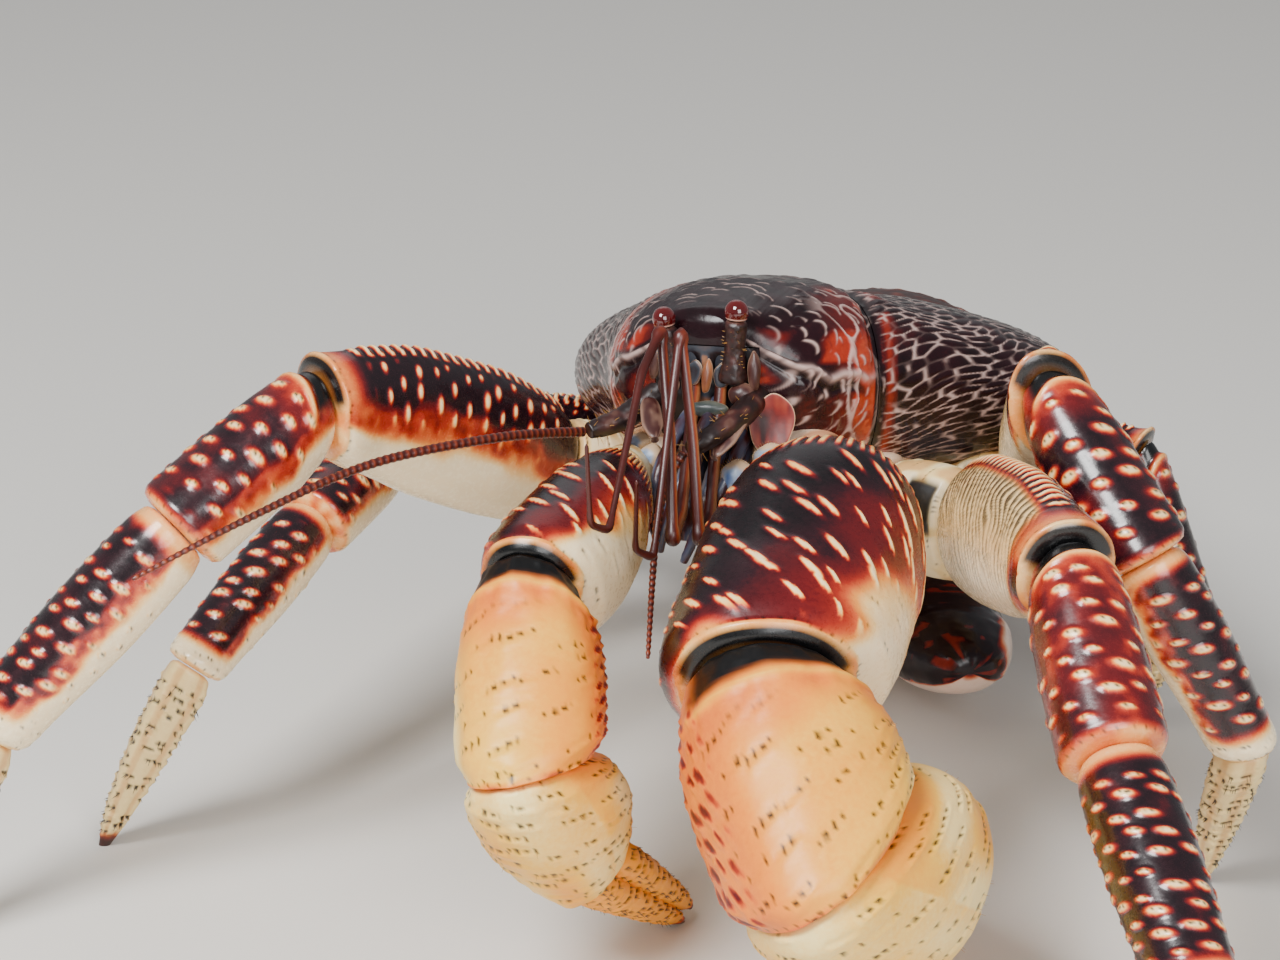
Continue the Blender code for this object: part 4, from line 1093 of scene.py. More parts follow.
FINISHES = {
    # Thick shell, polished by wear: small sharp lights on near black.
    "carapace": dict(
        name="glossy_calcified_shell", roughness=0.22, shine=0.28, pit="#C4A69E",
        stops=((0.0, "#0D0508"), (0.16, "#220A10"), (0.32, "#5A130F"), (0.46, "#9A2C18"),
               (0.6, "#C25A34"), (0.8, "#D9A583"), (1.0, "#EBD5C6"))),
    # Thin shell of the sides, dull and chalky.
    "thorax": dict(
        name="pale_side_shell", roughness=0.42,
        stops=((0.0, "#2A1210"), (0.4, "#9A4A2A"), (0.7, "#D9A27A"), (1.0, "#EFE0CC"))),
    # Horny shell between the eyes, with bluish hollows darkened by painted shade and a painted highlight
    # below them.
    "face": dict(
        name="dark_face_shell", roughness=0.3, shine=0.35,
        stops=((0.0, "#050509"), (0.35, "#1E1417"), (0.6, "#30343C"), (0.8, "#8A5C40"),
               (1.0, "#C8BBA8"))),
    # Thick pigment under a clear layer: deep reds with a wet gloss.
    "leg": dict(
        name="lacquered_leg_shell", roughness=0.25, coat=0.25,
        stops=((0.0, "#0C060B"), (0.12, "#260A12"), (0.28, "#621013"), (0.42, "#A32A18"),
               (0.54, "#CF5A28"), (0.68, "#EC9446"), (0.84, "#F6CA86"), (1.0, "#FAE8C0"))),
    # Shell with little pigment, cream and half dull.
    "leg_pale": dict(
        name="chalky_leg_shell", roughness=0.36,
        stops=((0.0, "#120A08"), (0.34, "#7A2A16"), (0.55, "#D07A3E"), (0.72, "#DDB070"),
               (0.86, "#F0D494"), (1.0, "#FAECCC"))),
    # As the legs, with the gloss a little worn.
    "claw_arm": dict(
        name="lacquered_claw_arm_shell", roughness=0.27, coat=0.12, shine=0.4,
        stops=((0.0, "#0B0508"), (0.12, "#250911"), (0.28, "#5E0F12"), (0.42, "#9C2616"),
               (0.54, "#C9542A"), (0.68, "#EE963E"), (0.84, "#F8CC82"), (1.0, "#FCEBC2"))),
    # Thick orange and cream shell with a soft gloss.
    "claw": dict(
        name="chalky_claw_shell", roughness=0.38, shine=0.34,
        stops=((0.0, "#160806"), (0.24, "#5A0F14"), (0.42, "#9A2A14"), (0.56, "#D25A22"),
               (0.68, "#EC8220"), (0.8, "#F29E2A"), (0.9, "#F8BE46"), (1.0, "#FCE094"))),
    # Brown horn with lighter knobs, half dull.
    "abdomen": dict(
        name="knobbed_horn_plate", roughness=0.4,
        stops=((0.0, "#1A0C0C"), (0.4, "#5A241A"), (0.7, "#A86A4A"), (1.0, "#E3C8AE"))),
    # Leathery skin of the abdomen, without gloss.
    "skin": dict(
        name="soft_wrinkled_skin", roughness=0.55, grain=0.2,
        stops=((0.0, "#2C1A16"), (0.5, "#6E4A3C"), (1.0, "#B08D76"))),
    # Dark rough shell of the eyestalks and the feelers' bases.
    "stalk": dict(
        name="rough_stalk_shell", roughness=0.4,
        stops=((0.0, "#0E0708"), (0.5, "#3C1A16"), (1.0, "#8A6A58"))),
    # Thin red horn with a pale rim beside the mouth.
    "plate": dict(
        name="red_horn_plate", roughness=0.45, shine=0.3,
        stops=((0.0, "#0E0508"), (0.3, "#3A0A0C"), (0.5, "#701810"), (0.75, "#96402A"),
               (1.0, "#D8BE9E"))),
    # Tan horn of the brow.
    "brow": dict(
        name="tan_horn_plate", roughness=0.35,
        stops=((0.0, "#2A1A14"), (0.4, "#6E3A22"), (0.7, "#A86A44"), (1.0, "#B9A088"))),
    # Moist grey-green skin above the mouth.
    "lip": dict(
        name="grey_green_lip_skin", roughness=0.3,
        stops=((0.0, "#141818"), (0.4, "#3A4342"), (0.7, "#6C6E62"), (1.0, "#AC9A7C"))),
    # Smooth knobs beside the mouth, blue in the middle and cream at the rim.
    "knob": dict(
        name="blue_grey_knob_shell", roughness=0.4,
        stops=((0.0, "#1E2630"), (0.26, "#46608C"), (0.42, "#8A98AC"), (0.56, "#C4A686"),
               (0.8, "#D6B48E"), (1.0, "#EFDFC6"))),
    # Springy brown horn of the feelers, in rings or smooth.
    "feeler": dict(
        name="brown_feeler_horn", roughness=0.35,
        stops=((0.0, "#1C0706"), (0.4, "#4E150E"), (0.7, "#8A3A1C"), (1.0, "#B98A58"))),
    # Smooth brown and blue-grey shell of the mouth legs.
    "mouth": dict(
        name="brown_mouth_shell", roughness=0.3, shine=0.4,
        stops=((0.0, "#12080C"), (0.35, "#3E1614"), (0.6, "#475066"), (0.8, "#8A7A70"),
               (1.0, "#D8C8B4"))),
}
finished = {}


def finish_of(key):
    if key not in finished:
        finished[key] = shell_finish(**FINISHES[key])
    return finished[key]


def cornea_finish():
    """Wet cornea over dark red facets: near black in the middle, red where it turns away."""
    made, tree, shader = new_material("wet_cornea")
    edge = add_node(tree, "ShaderNodeLayerWeight", values={"Blend": 0.3}).outputs["Facing"]
    colour = add_node(tree, "ShaderNodeValToRGB", links={"Fac": edge},
                      stops=((0.0, "#420506"), (0.6, "#660B0B"), (1.0, "#861E18"))).outputs["Color"]
    rim = add_node(tree, "ShaderNodeAttribute", {"attribute_name": "tone"}).outputs["Fac"]
    ringed = add_node(tree, "ShaderNodeMix", {"data_type": "RGBA"}, {0: rim, 6: colour},
                      {7: linear("#C99A8A")}).outputs[2]
    tree.links.new(ringed, shader.inputs["Base Color"])
    set_values(shader, {"Roughness": 0.08, "IOR": CORNEA_IOR, "Coat Weight": 1.0, "Coat Roughness": 0.02})
    return made


def plain_finish(name, code, roughness):
    """One colour and gloss, for paint and for bristles too thin to show more."""
    made, _, shader = new_material(name)
    set_values(shader, {"Base Color": linear(code), "Roughness": roughness})
    return made


# The shell of the body.


def body_points(rings, sides):
    stations = np.array(BODY_STATIONS, float)
    steps = np.linspace(0, 1, rings)
    along = stations[0, 0] + (stations[-1, 0] - stations[0, 0]) * (0.5 - 0.5 * np.cos(math.pi * steps))
    half_width, back, belly = fine(BODY_STATIONS, along)
    angle = np.arange(sides) / sides * math.tau
    cosine = np.cos(angle)[None, :]
    sine = np.sin(angle)[None, :]
    x = half_width[:, None] * squared(cosine, BODY_SQUARENESS)
    high = squared(sine, BODY_SQUARENESS)
    middle = ((back + belly) / 2)[:, None]
    half_height = ((back - belly) / 2)[:, None]
    y = along[:, None] * np.ones_like(x)
    z = middle + half_height * high
    girth = math.pi * (half_width[:, None] + half_height) * np.ones_like(x)
    arc = angle[None, :] / math.tau * girth
    return x, y, z, high * np.ones_like(x), arc


def furrow_at(x, along):
    near = np.exp(-(((along - SHIELD_REAR + SHIELD_CURVE * x * x) / FURROW_WIDTH) ** 2))
    heart_edge = HEART_FRONT_HALF_WIDTH + HEART_SPREAD * (along - SHIELD_REAR)
    beside = np.exp(-(((np.abs(x) - heart_edge) / FURROW_WIDTH) ** 2)) * (along > SHIELD_REAR - 4)
    return np.maximum(near, beside)


def scale_lines(x, y, pitch, reach, width, seed, bow, jitter):
    """Short bowed pale lines in staggered rows, each the raised rim of a flat scale: (line, rise)."""
    line = np.zeros_like(x)
    rise = np.zeros_like(x)
    row_at = y / pitch
    for row_step in (-1, 0, 1):
        row = np.floor(row_at + 0.5) + row_step
        column_at = x / (reach * 2.3) + 0.5 * np.mod(row, 2)
        for column_step in (-1, 0, 1):
            column = np.floor(column_at + 0.5) + column_step
            move = jitter * (scatter(row, column, seed) - 0.5)
            lift = jitter * (scatter(row, column, seed + 5) - 0.5) * pitch
            half = reach * (0.55 + 0.75 * scatter(row, column, seed + 9))
            tilt = 0.35 * (scatter(row, column, seed + 13) - 0.5)
            across = (column_at - column - move) * reach * 2.3
            away = (row_at - row) * pitch - lift + bow * across**2 - tilt * across
            inside = ease(half * 1.1, half * 0.8, np.abs(across))
            line = np.maximum(line, np.exp(-((away / width) ** 2)) * inside)
            steep = np.exp(-((away / (width * 1.1)) ** 2))
            slope = np.where(away < 0, np.exp(away / (pitch * 0.45)), steep)
            rise = np.maximum(rise, slope * ease(half * 1.15, half * 0.25, np.abs(across)))
    return line, rise


def scale_net(x, y, long, wide, seed):
    """The outlines of irregular lengthened scales that lie like roof tiles: (line, rise)."""
    column_at = x / long
    row_at = y / wide
    first = np.full_like(x, 9.0)
    second = np.full_like(x, 9.0)
    behind = np.zeros_like(x)
    for row_step in (-1, 0, 1, 2):
        row = np.floor(row_at) + row_step
        for column_step in (-1, 0, 1, 2):
            column = np.floor(column_at + 0.5 * np.mod(row, 2)) + column_step
            across = column_at + 0.5 * np.mod(row, 2) - column - 0.75 * (scatter(row, column, seed) - 0.5)
            down = row_at - row - 0.35 * (scatter(row, column, seed + 5) - 0.5)
            away = np.sqrt(across**2 + down**2)
            nearer = away < first
            second = np.where(nearer, first, np.minimum(second, away))
            behind = np.where(nearer, down, behind)
            first = np.where(nearer, away, first)
    edge = (second - first) * wide
    line = np.exp(-((edge / 0.36) ** 2))
    return line, np.clip(edge / 1.6, 0, 1) * (0.75 + 0.5 * np.clip(behind, -0.5, 0.5))


def carapace_pattern(x, y, arc, high, on_lobes):
    """(rise, tone, line) over the shield, heart plate and lobes, in the body's own frame.

    The shield has short curled lines, red shoulders before the furrow and a pale ridge
    along its front margin. The lobes have outlined scales that run fore and aft.
    """
    bent = arc + 6 * (wander(y / 14, arc / 14, 11) - 0.5)
    over = y + 6 * (wander(y / 12, arc / 12, 12) - 0.5)
    line, rise = scale_lines(arc, over, **SHIELD_LINES)
    net, net_rise = scale_net(y, bent, **LOBE_SCALES)
    fade = ease(0.2, 0.6, wander(y / 3.5, arc / 2.2, 23))
    quiet = ease(10, 26, y + 0.5 * np.abs(x)) * 0.85
    line = mix(line * quiet * fade, net * (0.1 + 0.8 * fade), on_lobes)
    rise = mix(rise * quiet, net_rise, on_lobes)
    ahead = SHIELD_REAR - SHIELD_CURVE * x * x - y
    before = span(ahead, -1, 3, 16, 34)
    behind = np.exp(-(((ahead + 7) / 5) ** 2)) * on_lobes
    shoulder = before * ease(12, 24, np.abs(x)) * (1 - on_lobes)
    patch = ease(0.3, 0.62, wander(x / 6 + 5, y / 5, 14))
    flank = span(high, 0.16, 0.28, 0.5, 0.72) * span(y, 4, 9, 30, 42) * (1 - on_lobes)
    warm = np.clip(shoulder * (0.5 + 0.5 * patch) + (0.6 * behind + 0.12 * on_lobes) * patch, 0, 1)
    warm = np.maximum(warm, 0.9 * flank * ease(0.05, 0.4, wander(y / 6, arc / 6, 18)))
    tone = mix(0.03 + 0.12 * wander(x / 4, y / 4, 16), 0.49, warm)
    vein = ease(0.06, 0.015, np.abs(wander(x / 7, y / 5.5, 17) - 0.5)) * shoulder
    sway = 0.12 + 0.16 * (wander(y / 4, 0 * y, 19) - 0.5)
    broken = 0.4 + 0.6 * ease(0.25, 0.55, wander(y / 2.5, arc / 2.5, 20))
    margin = np.exp(-(((high - sway) / 0.045) ** 2)) * ease(34, 26, y) * ease(9, 13, np.abs(x))
    under = np.exp(-(((high - sway + 0.14) / 0.06) ** 2)) * ease(30, 22, y) * ease(9, 13, np.abs(x))
    warm_under = ease(-0.1, -0.35, high) * ease(40, 24, y) * ease(10, 14, np.abs(x))
    speckle = ease(0.55, 0.85, wander(y / 1.5, arc / 1.5, 45))
    cheek = ease(0.3, 0.62, wander(arc / 7 + 5, y / 6, 14))
    tone = mix(tone, mix(0.36, 0.55, speckle), 0.85 * warm_under * (0.25 + 0.75 * cheek))
    tone = mix(tone, 0.02, under)
    groove = furrow_at(x, y)
    tone = mix(tone, 0.02, ease(0.6, 0.95, groove))
    line = np.maximum(line * (1 - ease(0.5, 0.9, groove)), np.maximum(0.8 * vein, 0.85 * margin * broken))
    grain = 0.07 * wander(x / 0.9, arc / 0.9, 29)
    return 0.38 * rise - 0.1 + 0.3 * vein + 0.7 * margin - 0.6 * under + grain, tone, line


def build_body_meshes(sizes):
    rings = sizes.body_rings
    sides = sizes.body_sides
    x, y, z, high, arc = body_points(rings, sides)
    above = ease(-2, 3, z - arch_height(x))
    top_arc = arc - arc[:, sides // 4][:, None]
    rise, _, _ = carapace_pattern(x, y, -top_arc, high, lobe_share(x, y))
    furrow = furrow_at(x, y) * np.clip(2 * high, 0, 1) * (high > 0)
    lift = (rise * above) - FURROW_DEPTH * furrow
    outward = np.stack([x * 0.35, np.zeros_like(x), np.maximum(high, 0.05) * 30], axis=-1)
    outward /= np.linalg.norm(outward, axis=-1, keepdims=True)
    points = np.stack([x, y, z], axis=-1) + outward * lift[..., None]
    moved = arrays_on_body(points[..., 0], points[..., 1], points[..., 2])
    return closed_loft("body", moved)


def lobe_share(x, y):
    """1 on the two side lobes, 0 on the shield and the heart plate."""
    behind = ease(2, 6, y - (SHIELD_REAR - SHIELD_CURVE * x * x))
    heart_edge = HEART_FRONT_HALF_WIDTH + HEART_SPREAD * (y - SHIELD_REAR)
    return behind * ease(0, 3, np.abs(x) - heart_edge)


def arch_height(x):
    return ARCH_MIDDLE - ARCH_DROP * np.minimum(ARCH_STEEPEST, (x / ARCH_HALF_WIDTH) ** 2)


def sheet(columns, rows, place):
    """A 0.3 mm thick sheet, 0 to 1 both ways, for parting the shell."""
    bm = bmesh.new()
    bmesh.ops.create_grid(bm, x_segments=columns, y_segments=rows, size=1.0)
    for vert in bm.verts:
        vert.co = place((vert.co.x + 1) / 2, (vert.co.y + 1) / 2) * MM
    bmesh.ops.recalc_face_normals(bm, faces=bm.faces)
    made = add_object("cut", mesh_of("cut", bm))
    thicken(made, GAP)
    return made


def along_path(path, t):
    run = t * (len(path) - 1)
    before = min(int(run), len(path) - 2)
    return Vector(path[before]).lerp(Vector(path[before + 1]), run - before)


def upright(path):
    def place(across, up):
        spot = along_path(path, across)
        low = float(arch_height(spot.x))
        return on_body(spot.x, spot.y, low + (CUT_TOP - low) * up)

    return place


def shell_cutters():
    furrow = [(-FURROW_REACH, CUT_AHEAD)]
    for step in range(-FURROW_STEPS, FURROW_STEPS + 1):
        x = step * FURROW_REACH / FURROW_STEPS
        furrow.append((x, SHIELD_REAR - SHIELD_CURVE * x * x))
    furrow.append((FURROW_REACH, CUT_AHEAD))
    tools = [sheet(len(furrow) - 1, 1, upright(furrow))]
    heart_front = SHIELD_REAR - SHIELD_CURVE * HEART_FRONT_HALF_WIDTH**2
    heart_rear = HEART_FRONT_HALF_WIDTH + HEART_SPREAD * CUT_BEHIND
    for side in (-1, 1):
        ends = [(side * HEART_FRONT_HALF_WIDTH, heart_front), (side * heart_rear, SHIELD_REAR + CUT_BEHIND)]
        tools.append(sheet(HEART_COLUMNS, 1, upright(ends)))

    def arch(across, back):
        x = (across - 0.5) * 2 * CUT_BESIDE
        return on_body(x, FACE_DEPTH + back * 2 * CUT_BEHIND, float(arch_height(x)))

    def arch_beside_face(side):
        def place(across, back):
            x = side * (FACE_HALF_WIDTH + (CUT_BESIDE - FACE_HALF_WIDTH) * across)
            return on_body(x, FACE_FRONT + back * (FACE_DEPTH + GAP - FACE_FRONT), float(arch_height(x)))
        return place

    half = FACE_HALF_WIDTH
    face_sides = [(-half, FACE_FRONT), (-half, FACE_DEPTH), (half, FACE_DEPTH), (half, FACE_FRONT)]

    def face_back(across, up):
        spot = along_path(face_sides, across)
        return on_body(spot.x, spot.y, FACE_TOP - CUT_BESIDE * (1 - up))

    def face_top(across, back):
        x = (across - 0.5) * 2 * (half + GAP / 2)
        return on_body(x, FACE_FRONT + (FACE_DEPTH + GAP / 2 - FACE_FRONT) * back, FACE_TOP)

    tools.append(sheet(2 * ARCH_COLUMNS, 1, arch))
    for side in (-1, 1):
        tools.append(sheet(ARCH_COLUMNS, 1, arch_beside_face(side)))
    tools.append(sheet(3, 1, face_back))
    tools.append(sheet(1, 1, face_top))
    return tools


def cut(target, tools):
    """Takes the tools out of the target and removes them."""
    for tool in tools:
        modifier = target.modifiers.new("Cut", "BOOLEAN")
        modifier.operation = "DIFFERENCE"
        modifier.object = tool
        modifier.solver = "MANIFOLD"
    target.data = finished_mesh(target)
    target.modifiers.clear()
    for tool in tools:
        bpy.data.objects.remove(tool, do_unlink=True)


def islands(mesh):
    """The separate surfaces of a mesh, largest first, each as a new mesh."""
    count = len(mesh.vertices)
    edges = np.empty(len(mesh.edges) * 2, np.int64)
    mesh.edges.foreach_get("vertices", edges)
    edges = edges.reshape(-1, 2)
    label = np.arange(count)
    while True:
        low = np.minimum(label[edges[:, 0]], label[edges[:, 1]])
        before = label.copy()
        np.minimum.at(label, edges[:, 0], low)
        np.minimum.at(label, edges[:, 1], low)
        label = label[label]
        if np.array_equal(before, label):
            break
    names, sizes = np.unique(label, return_counts=True)
    found = []
    for name in names[np.argsort(-sizes)]:
        bm = bmesh.new()
        bm.from_mesh(mesh)
        bm.verts.ensure_lookup_table()
        gone = [bm.verts[index] for index in np.nonzero(label != name)[0]]
        bmesh.ops.delete(bm, geom=gone, context="VERTS")
        found.append(mesh_of("part", bm))
    return found


def vertex_places(mesh):
    at = np.empty(len(mesh.vertices) * 3)
    mesh.vertices.foreach_get("co", at)
    return at.reshape(-1, 3) / MM


def paint_shell(mesh, name):
    """Writes the pigment of a shell plate from each vertex's place on the body. On the face it also dents
    the antennule sockets, paints shade in them and paints a highlight below them.
    """
    at = vertex_places(mesh)
    own = (at - BODY_TURN[:3, 3]) @ BODY_TURN[:3, :3]
    x, y, z = own.T
    along = np.clip(y, BODY_STATIONS[0][0], BODY_STATIONS[-1][0])
    half_width, back, belly = fine(BODY_STATIONS, along)
    half_height = (back - belly) / 2
    high = np.clip((z - (back + belly) / 2) / half_height, -1, 1)
    wide = np.clip(x / half_width, -1, 1)
    power = BODY_SQUARENESS / 2
    sine = np.sign(high) * np.abs(high) ** power
    cosine = np.sign(wide) * np.abs(wide) ** power
    angle = np.arctan2(cosine, sine)
    arc = angle / math.tau * math.pi * (half_width + half_height)
    _, tone, pit = carapace_pattern(x, y, arc, high, lobe_share(x, y))
    if name == "thorax":
        tone = 0.85 + 0.25 * (wander(x / 6, y / 6, 33) - 0.5)
        pit = 0.0 * pit
    if name == "face":
        # The antennule sockets are dented in, then darkened to near black with painted shade in the
        # recesses.
        hollow = np.exp(-(((np.abs(x) - 3.8) / 1.9) ** 2) - ((z + 14) / 3.4) ** 2)
        front = ease(12, 9, y)
        at += np.outer(hollow * front * 2.4, BODY_TURN[:3, :3] @ np.array([0.0, 1.0, 0.0]))
        mesh.vertices.foreach_set("co", (at * MM).ravel())
        tone = 0.08 + 0.42 * wander(x / 1.8, z / 2.2, 37)
        tone = mix(tone, 0.62, ease(-10.2, -9.0, z) * ease(11, 8, np.abs(x)))
        tone = mix(tone, 0.80, ease(1.8, 0.5, np.abs(x)) * span(z, -21, -17, -11, -9))
        tone = mix(tone, 0.02, np.clip(1.6 * hollow, 0, 1))
        # A small pale spot below the sockets is a painted highlight.
        tone = mix(tone, 0.95, np.exp(-((x / 5) ** 2) - ((z + 23) / 2.6) ** 2))
        tone = mix(tone, 0.60, 0.6 * np.exp(-((x / 8) ** 2) - ((z + 20) / 2.2) ** 2))
        pit = 0.0 * pit
    write_attribute(mesh, "tone", np.clip(tone, 0, 1))
    write_attribute(mesh, "pit", np.clip(pit, 0, 1))
    write_attribute(mesh, "film", np.zeros(len(at)))


# Round feelers.


def smooth_points(points, steps):
    """A Catmull-Rom curve through the points, at evenly spread steps."""
    points = np.array(points, float)
    run = steps * (len(points) - 1)
    index = np.minimum(run.astype(int), len(points) - 2)
    part = (run - index)[:, None]
    before = points[np.maximum(index - 1, 0)]
    start = points[index]
    end = points[index + 1]
    after = points[np.minimum(index + 2, len(points) - 1)]
    return 0.5 * (2 * start + (end - before) * part + (2 * before - 5 * start + 4 * end - after) * part**2
                  + (3 * start - before - 3 * end + after) * part**3)


def bent_points(points):
    """Straight runs with tight knees, as the antennules fold."""
    points = np.array(points, float)
    lengths = np.concatenate([[0], np.cumsum(np.linalg.norm(np.diff(points, axis=0), axis=1))])
    run = np.linspace(0, lengths[-1], FEELER_STEPS)
    spread = np.arange(-KNEE_STEPS, KNEE_STEPS + 1)
    weights = np.exp(-((spread / (KNEE_STEPS / 2)) ** 2))
    found = []
    for axis in range(3):
        line = np.interp(run, lengths, points[:, axis])
        padded = np.concatenate([2 * line[0] - line[KNEE_STEPS:0:-1], line,
                                 2 * line[-1] - line[-2:-KNEE_STEPS - 2:-1]])
        found.append(np.convolve(padded, weights / weights.sum(), "valid"))
    return np.stack(found, axis=-1)


def antennule_pattern(surface, middle):
    """Swollen knees, a fine ringed end and a tan inner side."""
    turned = np.gradient(middle, axis=0)
    turned /= np.linalg.norm(turned, axis=1, keepdims=True)
    bend = np.linalg.norm(np.gradient(turned, axis=0), axis=1)
    knee = np.convolve(bend, np.ones(9) / 9, "same")[:, None]
    surface.rise += 0.55 * np.clip(knee * 4, 0, 1) * (surface.s > 5)
    surface.rise += 0.04 * np.cos(math.tau * surface.s / 1.2) * ease(0.5, 0.6, surface.t)
    surface.tone = 0.12 + 0.2 * surface.noise(6, 1, 45)
    surface.paint(0.95, 0.8 * ease(0.2, 0.8, np.cos(surface.angle - 0.2)) * ease(0.60, 0.5, surface.t))


def ringed_pattern(surface):
    """Rings about 1.9 mm apart, lighter towards the tip."""
    wave = np.cos(math.tau * surface.s / 1.9)
    surface.rise += 0.10 * wave
    surface.tone = 0.35 + 0.25 * wave
    surface.paint(0.8, ease(0.75, 1.0, surface.t) * 0.4)


def base_pattern(surface, kind):
    surface.tone = 0.08 + 0.5 * ease(0.45, 0.8, surface.noise(3.0, 1.2, 43))
    if kind == "mouth":
        surface.tone = 0.15 + 0.6 * surface.noise(5, 1.3, 44)
    surface.rise += 0.25 * surface.noise(1.2, 3, 47)


def feeler_mesh(name, points, radii, kind):
    steps = np.linspace(0, 1, FEELER_STEPS if kind == "feeler" else BASE_STEPS)
    middle = bent_points(points) if name.startswith("antennule") else smooth_points(points, steps)
    run = np.concatenate([[0], np.cumsum(np.linalg.norm(np.diff(middle, axis=0), axis=1))])
    radius = np.interp(steps, np.linspace(0, 1, len(radii)), radii)
    sides = FEELER_SIDES if kind == "feeler" else BASE_SIDES
    angle = np.arange(sides) / sides * math.tau
    surface = Surface(np.outer(run, np.ones(sides)), np.outer(np.ones(len(run)), angle),
                      np.outer(math.tau * radius, np.ones(sides)), run[-1])
    if name.startswith("antennule"):
        antennule_pattern(surface, middle)
    elif kind == "feeler":
        ringed_pattern(surface)
    else:
        base_pattern(surface, kind)
    rounded_ends(surface, min(radius.min(), 0.4))
    ahead = np.gradient(middle, axis=0)
    ahead /= np.linalg.norm(ahead, axis=1, keepdims=True)
    side = np.array([1.0, 0.0, 0.0])
    placed = []
    for index in range(len(run)):
        side = side - ahead[index] * side.dot(ahead[index])
        side /= np.linalg.norm(side)
        over = np.cross(ahead[index], side)
        size = radius[index] + surface.rise[index]
        placed.append(middle[index] + (size * np.cos(angle))[:, None] * side
                      + (size * np.sin(angle))[:, None] * over)
    return closed_loft(name, np.array(placed), pigments(surface))


# Settings and operators.


class CrabSizes(bpy.types.PropertyGroup):
    leg_pitch: bpy.props.FloatProperty(
        name="Leg mesh spacing", description="Distance between a leg's vertices, in millimetres",
        default=0.62, min=0.3, max=3.0)
    claw_pitch: bpy.props.FloatProperty(
        name="Claw mesh spacing", description="Distance between a claw's vertices, in millimetres",
        default=0.72, min=0.3, max=3.0)
    body_rings: bpy.props.IntProperty(
        name="Body rings", description="Rings along the body", default=360, min=40, max=600)
    body_sides: bpy.props.IntProperty(
        name="Body sides", description="Vertices round the body", default=600, min=60, max=900)
    floor_size: bpy.props.FloatProperty(
        name="Floor size", description="Side of the floor", default=12.0, unit="LENGTH")


class CrabLight(bpy.types.PropertyGroup):
    key: bpy.props.FloatProperty(name="Key light", description="Power of the main light",
                                 default=33.0, unit="POWER")
    fill: bpy.props.FloatProperty(name="Fill light", description="Power of the side light",
                                  default=13.0, unit="POWER")
    sky: bpy.props.FloatProperty(name="Surroundings", description="Brightness of the surroundings",
                                 default=0.36, min=0.0, max=3.0)
    floor_colour: bpy.props.StringProperty(name="Floor", description="sRGB colour of the floor",
                                           default="#D9D6D0")


class CRAB_OT_shell(bpy.types.Operator):
    """Builds the shield, heart plate, lobes, thorax and face"""

    bl_idname = "crab.shell"
    bl_label = "Body shell"

    def execute(self, context):
        mesh = build_body_meshes(context.scene.crab_sizes)
        whole = add_object("body", mesh)
        cut(whole, shell_cutters())
        parts = islands(whole.data)[:len(SHELL_PLACES)]
        bpy.data.objects.remove(whole, do_unlink=True)
        for name, (spot, slot_name) in SHELL_PLACES.items():
            probe = np.array(on_body(*spot))
            part = min(parts, key=lambda known: np.linalg.norm(vertex_places(known) - probe, axis=1).min())
            paint_shell(part, name)
            if name == "thorax":
                coxae = [limb.coxa.mesh("coxa", COXA_PITCH, coxa_pattern) for limb in all_limbs()]
                part = joined("thorax", [part] + coxae)
            shown("shell_" + name, part, finish_of(slot_name), [name])
        return {"FINISHED"}


def coxa_pattern(surface, look):
    surface.tone[:] = 0.88
    surface.paint(0.6, ease(0.5, 0.8, surface.noise(6, 2, 53)))
    pores(surface, 1.0, **PITS["coxa"])


def all_limbs():
    return [leg_limb(name) for name in LEGS] + [claw_limb(name) for name in CLAWS]


class CRAB_OT_legs(bpy.types.Operator):
    """Builds the walking legs with their tubercles"""

    bl_idname = "crab.legs"
    bl_label = "Walking legs"

    def execute(self, context):
        pitch = context.scene.crab_sizes.leg_pitch
        tufts = []
        for name in LEGS:
            limb = leg_limb(name)
            for part, segment in zip(limb.names, limb.segments):
                slot_name = "leg_pale" if part in ("ischium", "dactyl") else "leg"
                mesh = segment.mesh(f"{name}_{part}", pitch, PATTERNS[part], LOOKS[name])
                finish = finish_of("leg_pale" if part == "hand" else slot_name)
                shown(f"shell_{name}_{part}", mesh, finish, [f"{name}_{part}"])
                if part in ("dactyl", "hand"):
                    tufts += segment.bristles(share=0.5, length=1.5, seed=61, low=0.05, high=0.93)
        show_bristles("leg_bristles", tufts, BRISTLE_RADIUS, "dark_bristle", "#20130C")
        return {"FINISHED"}


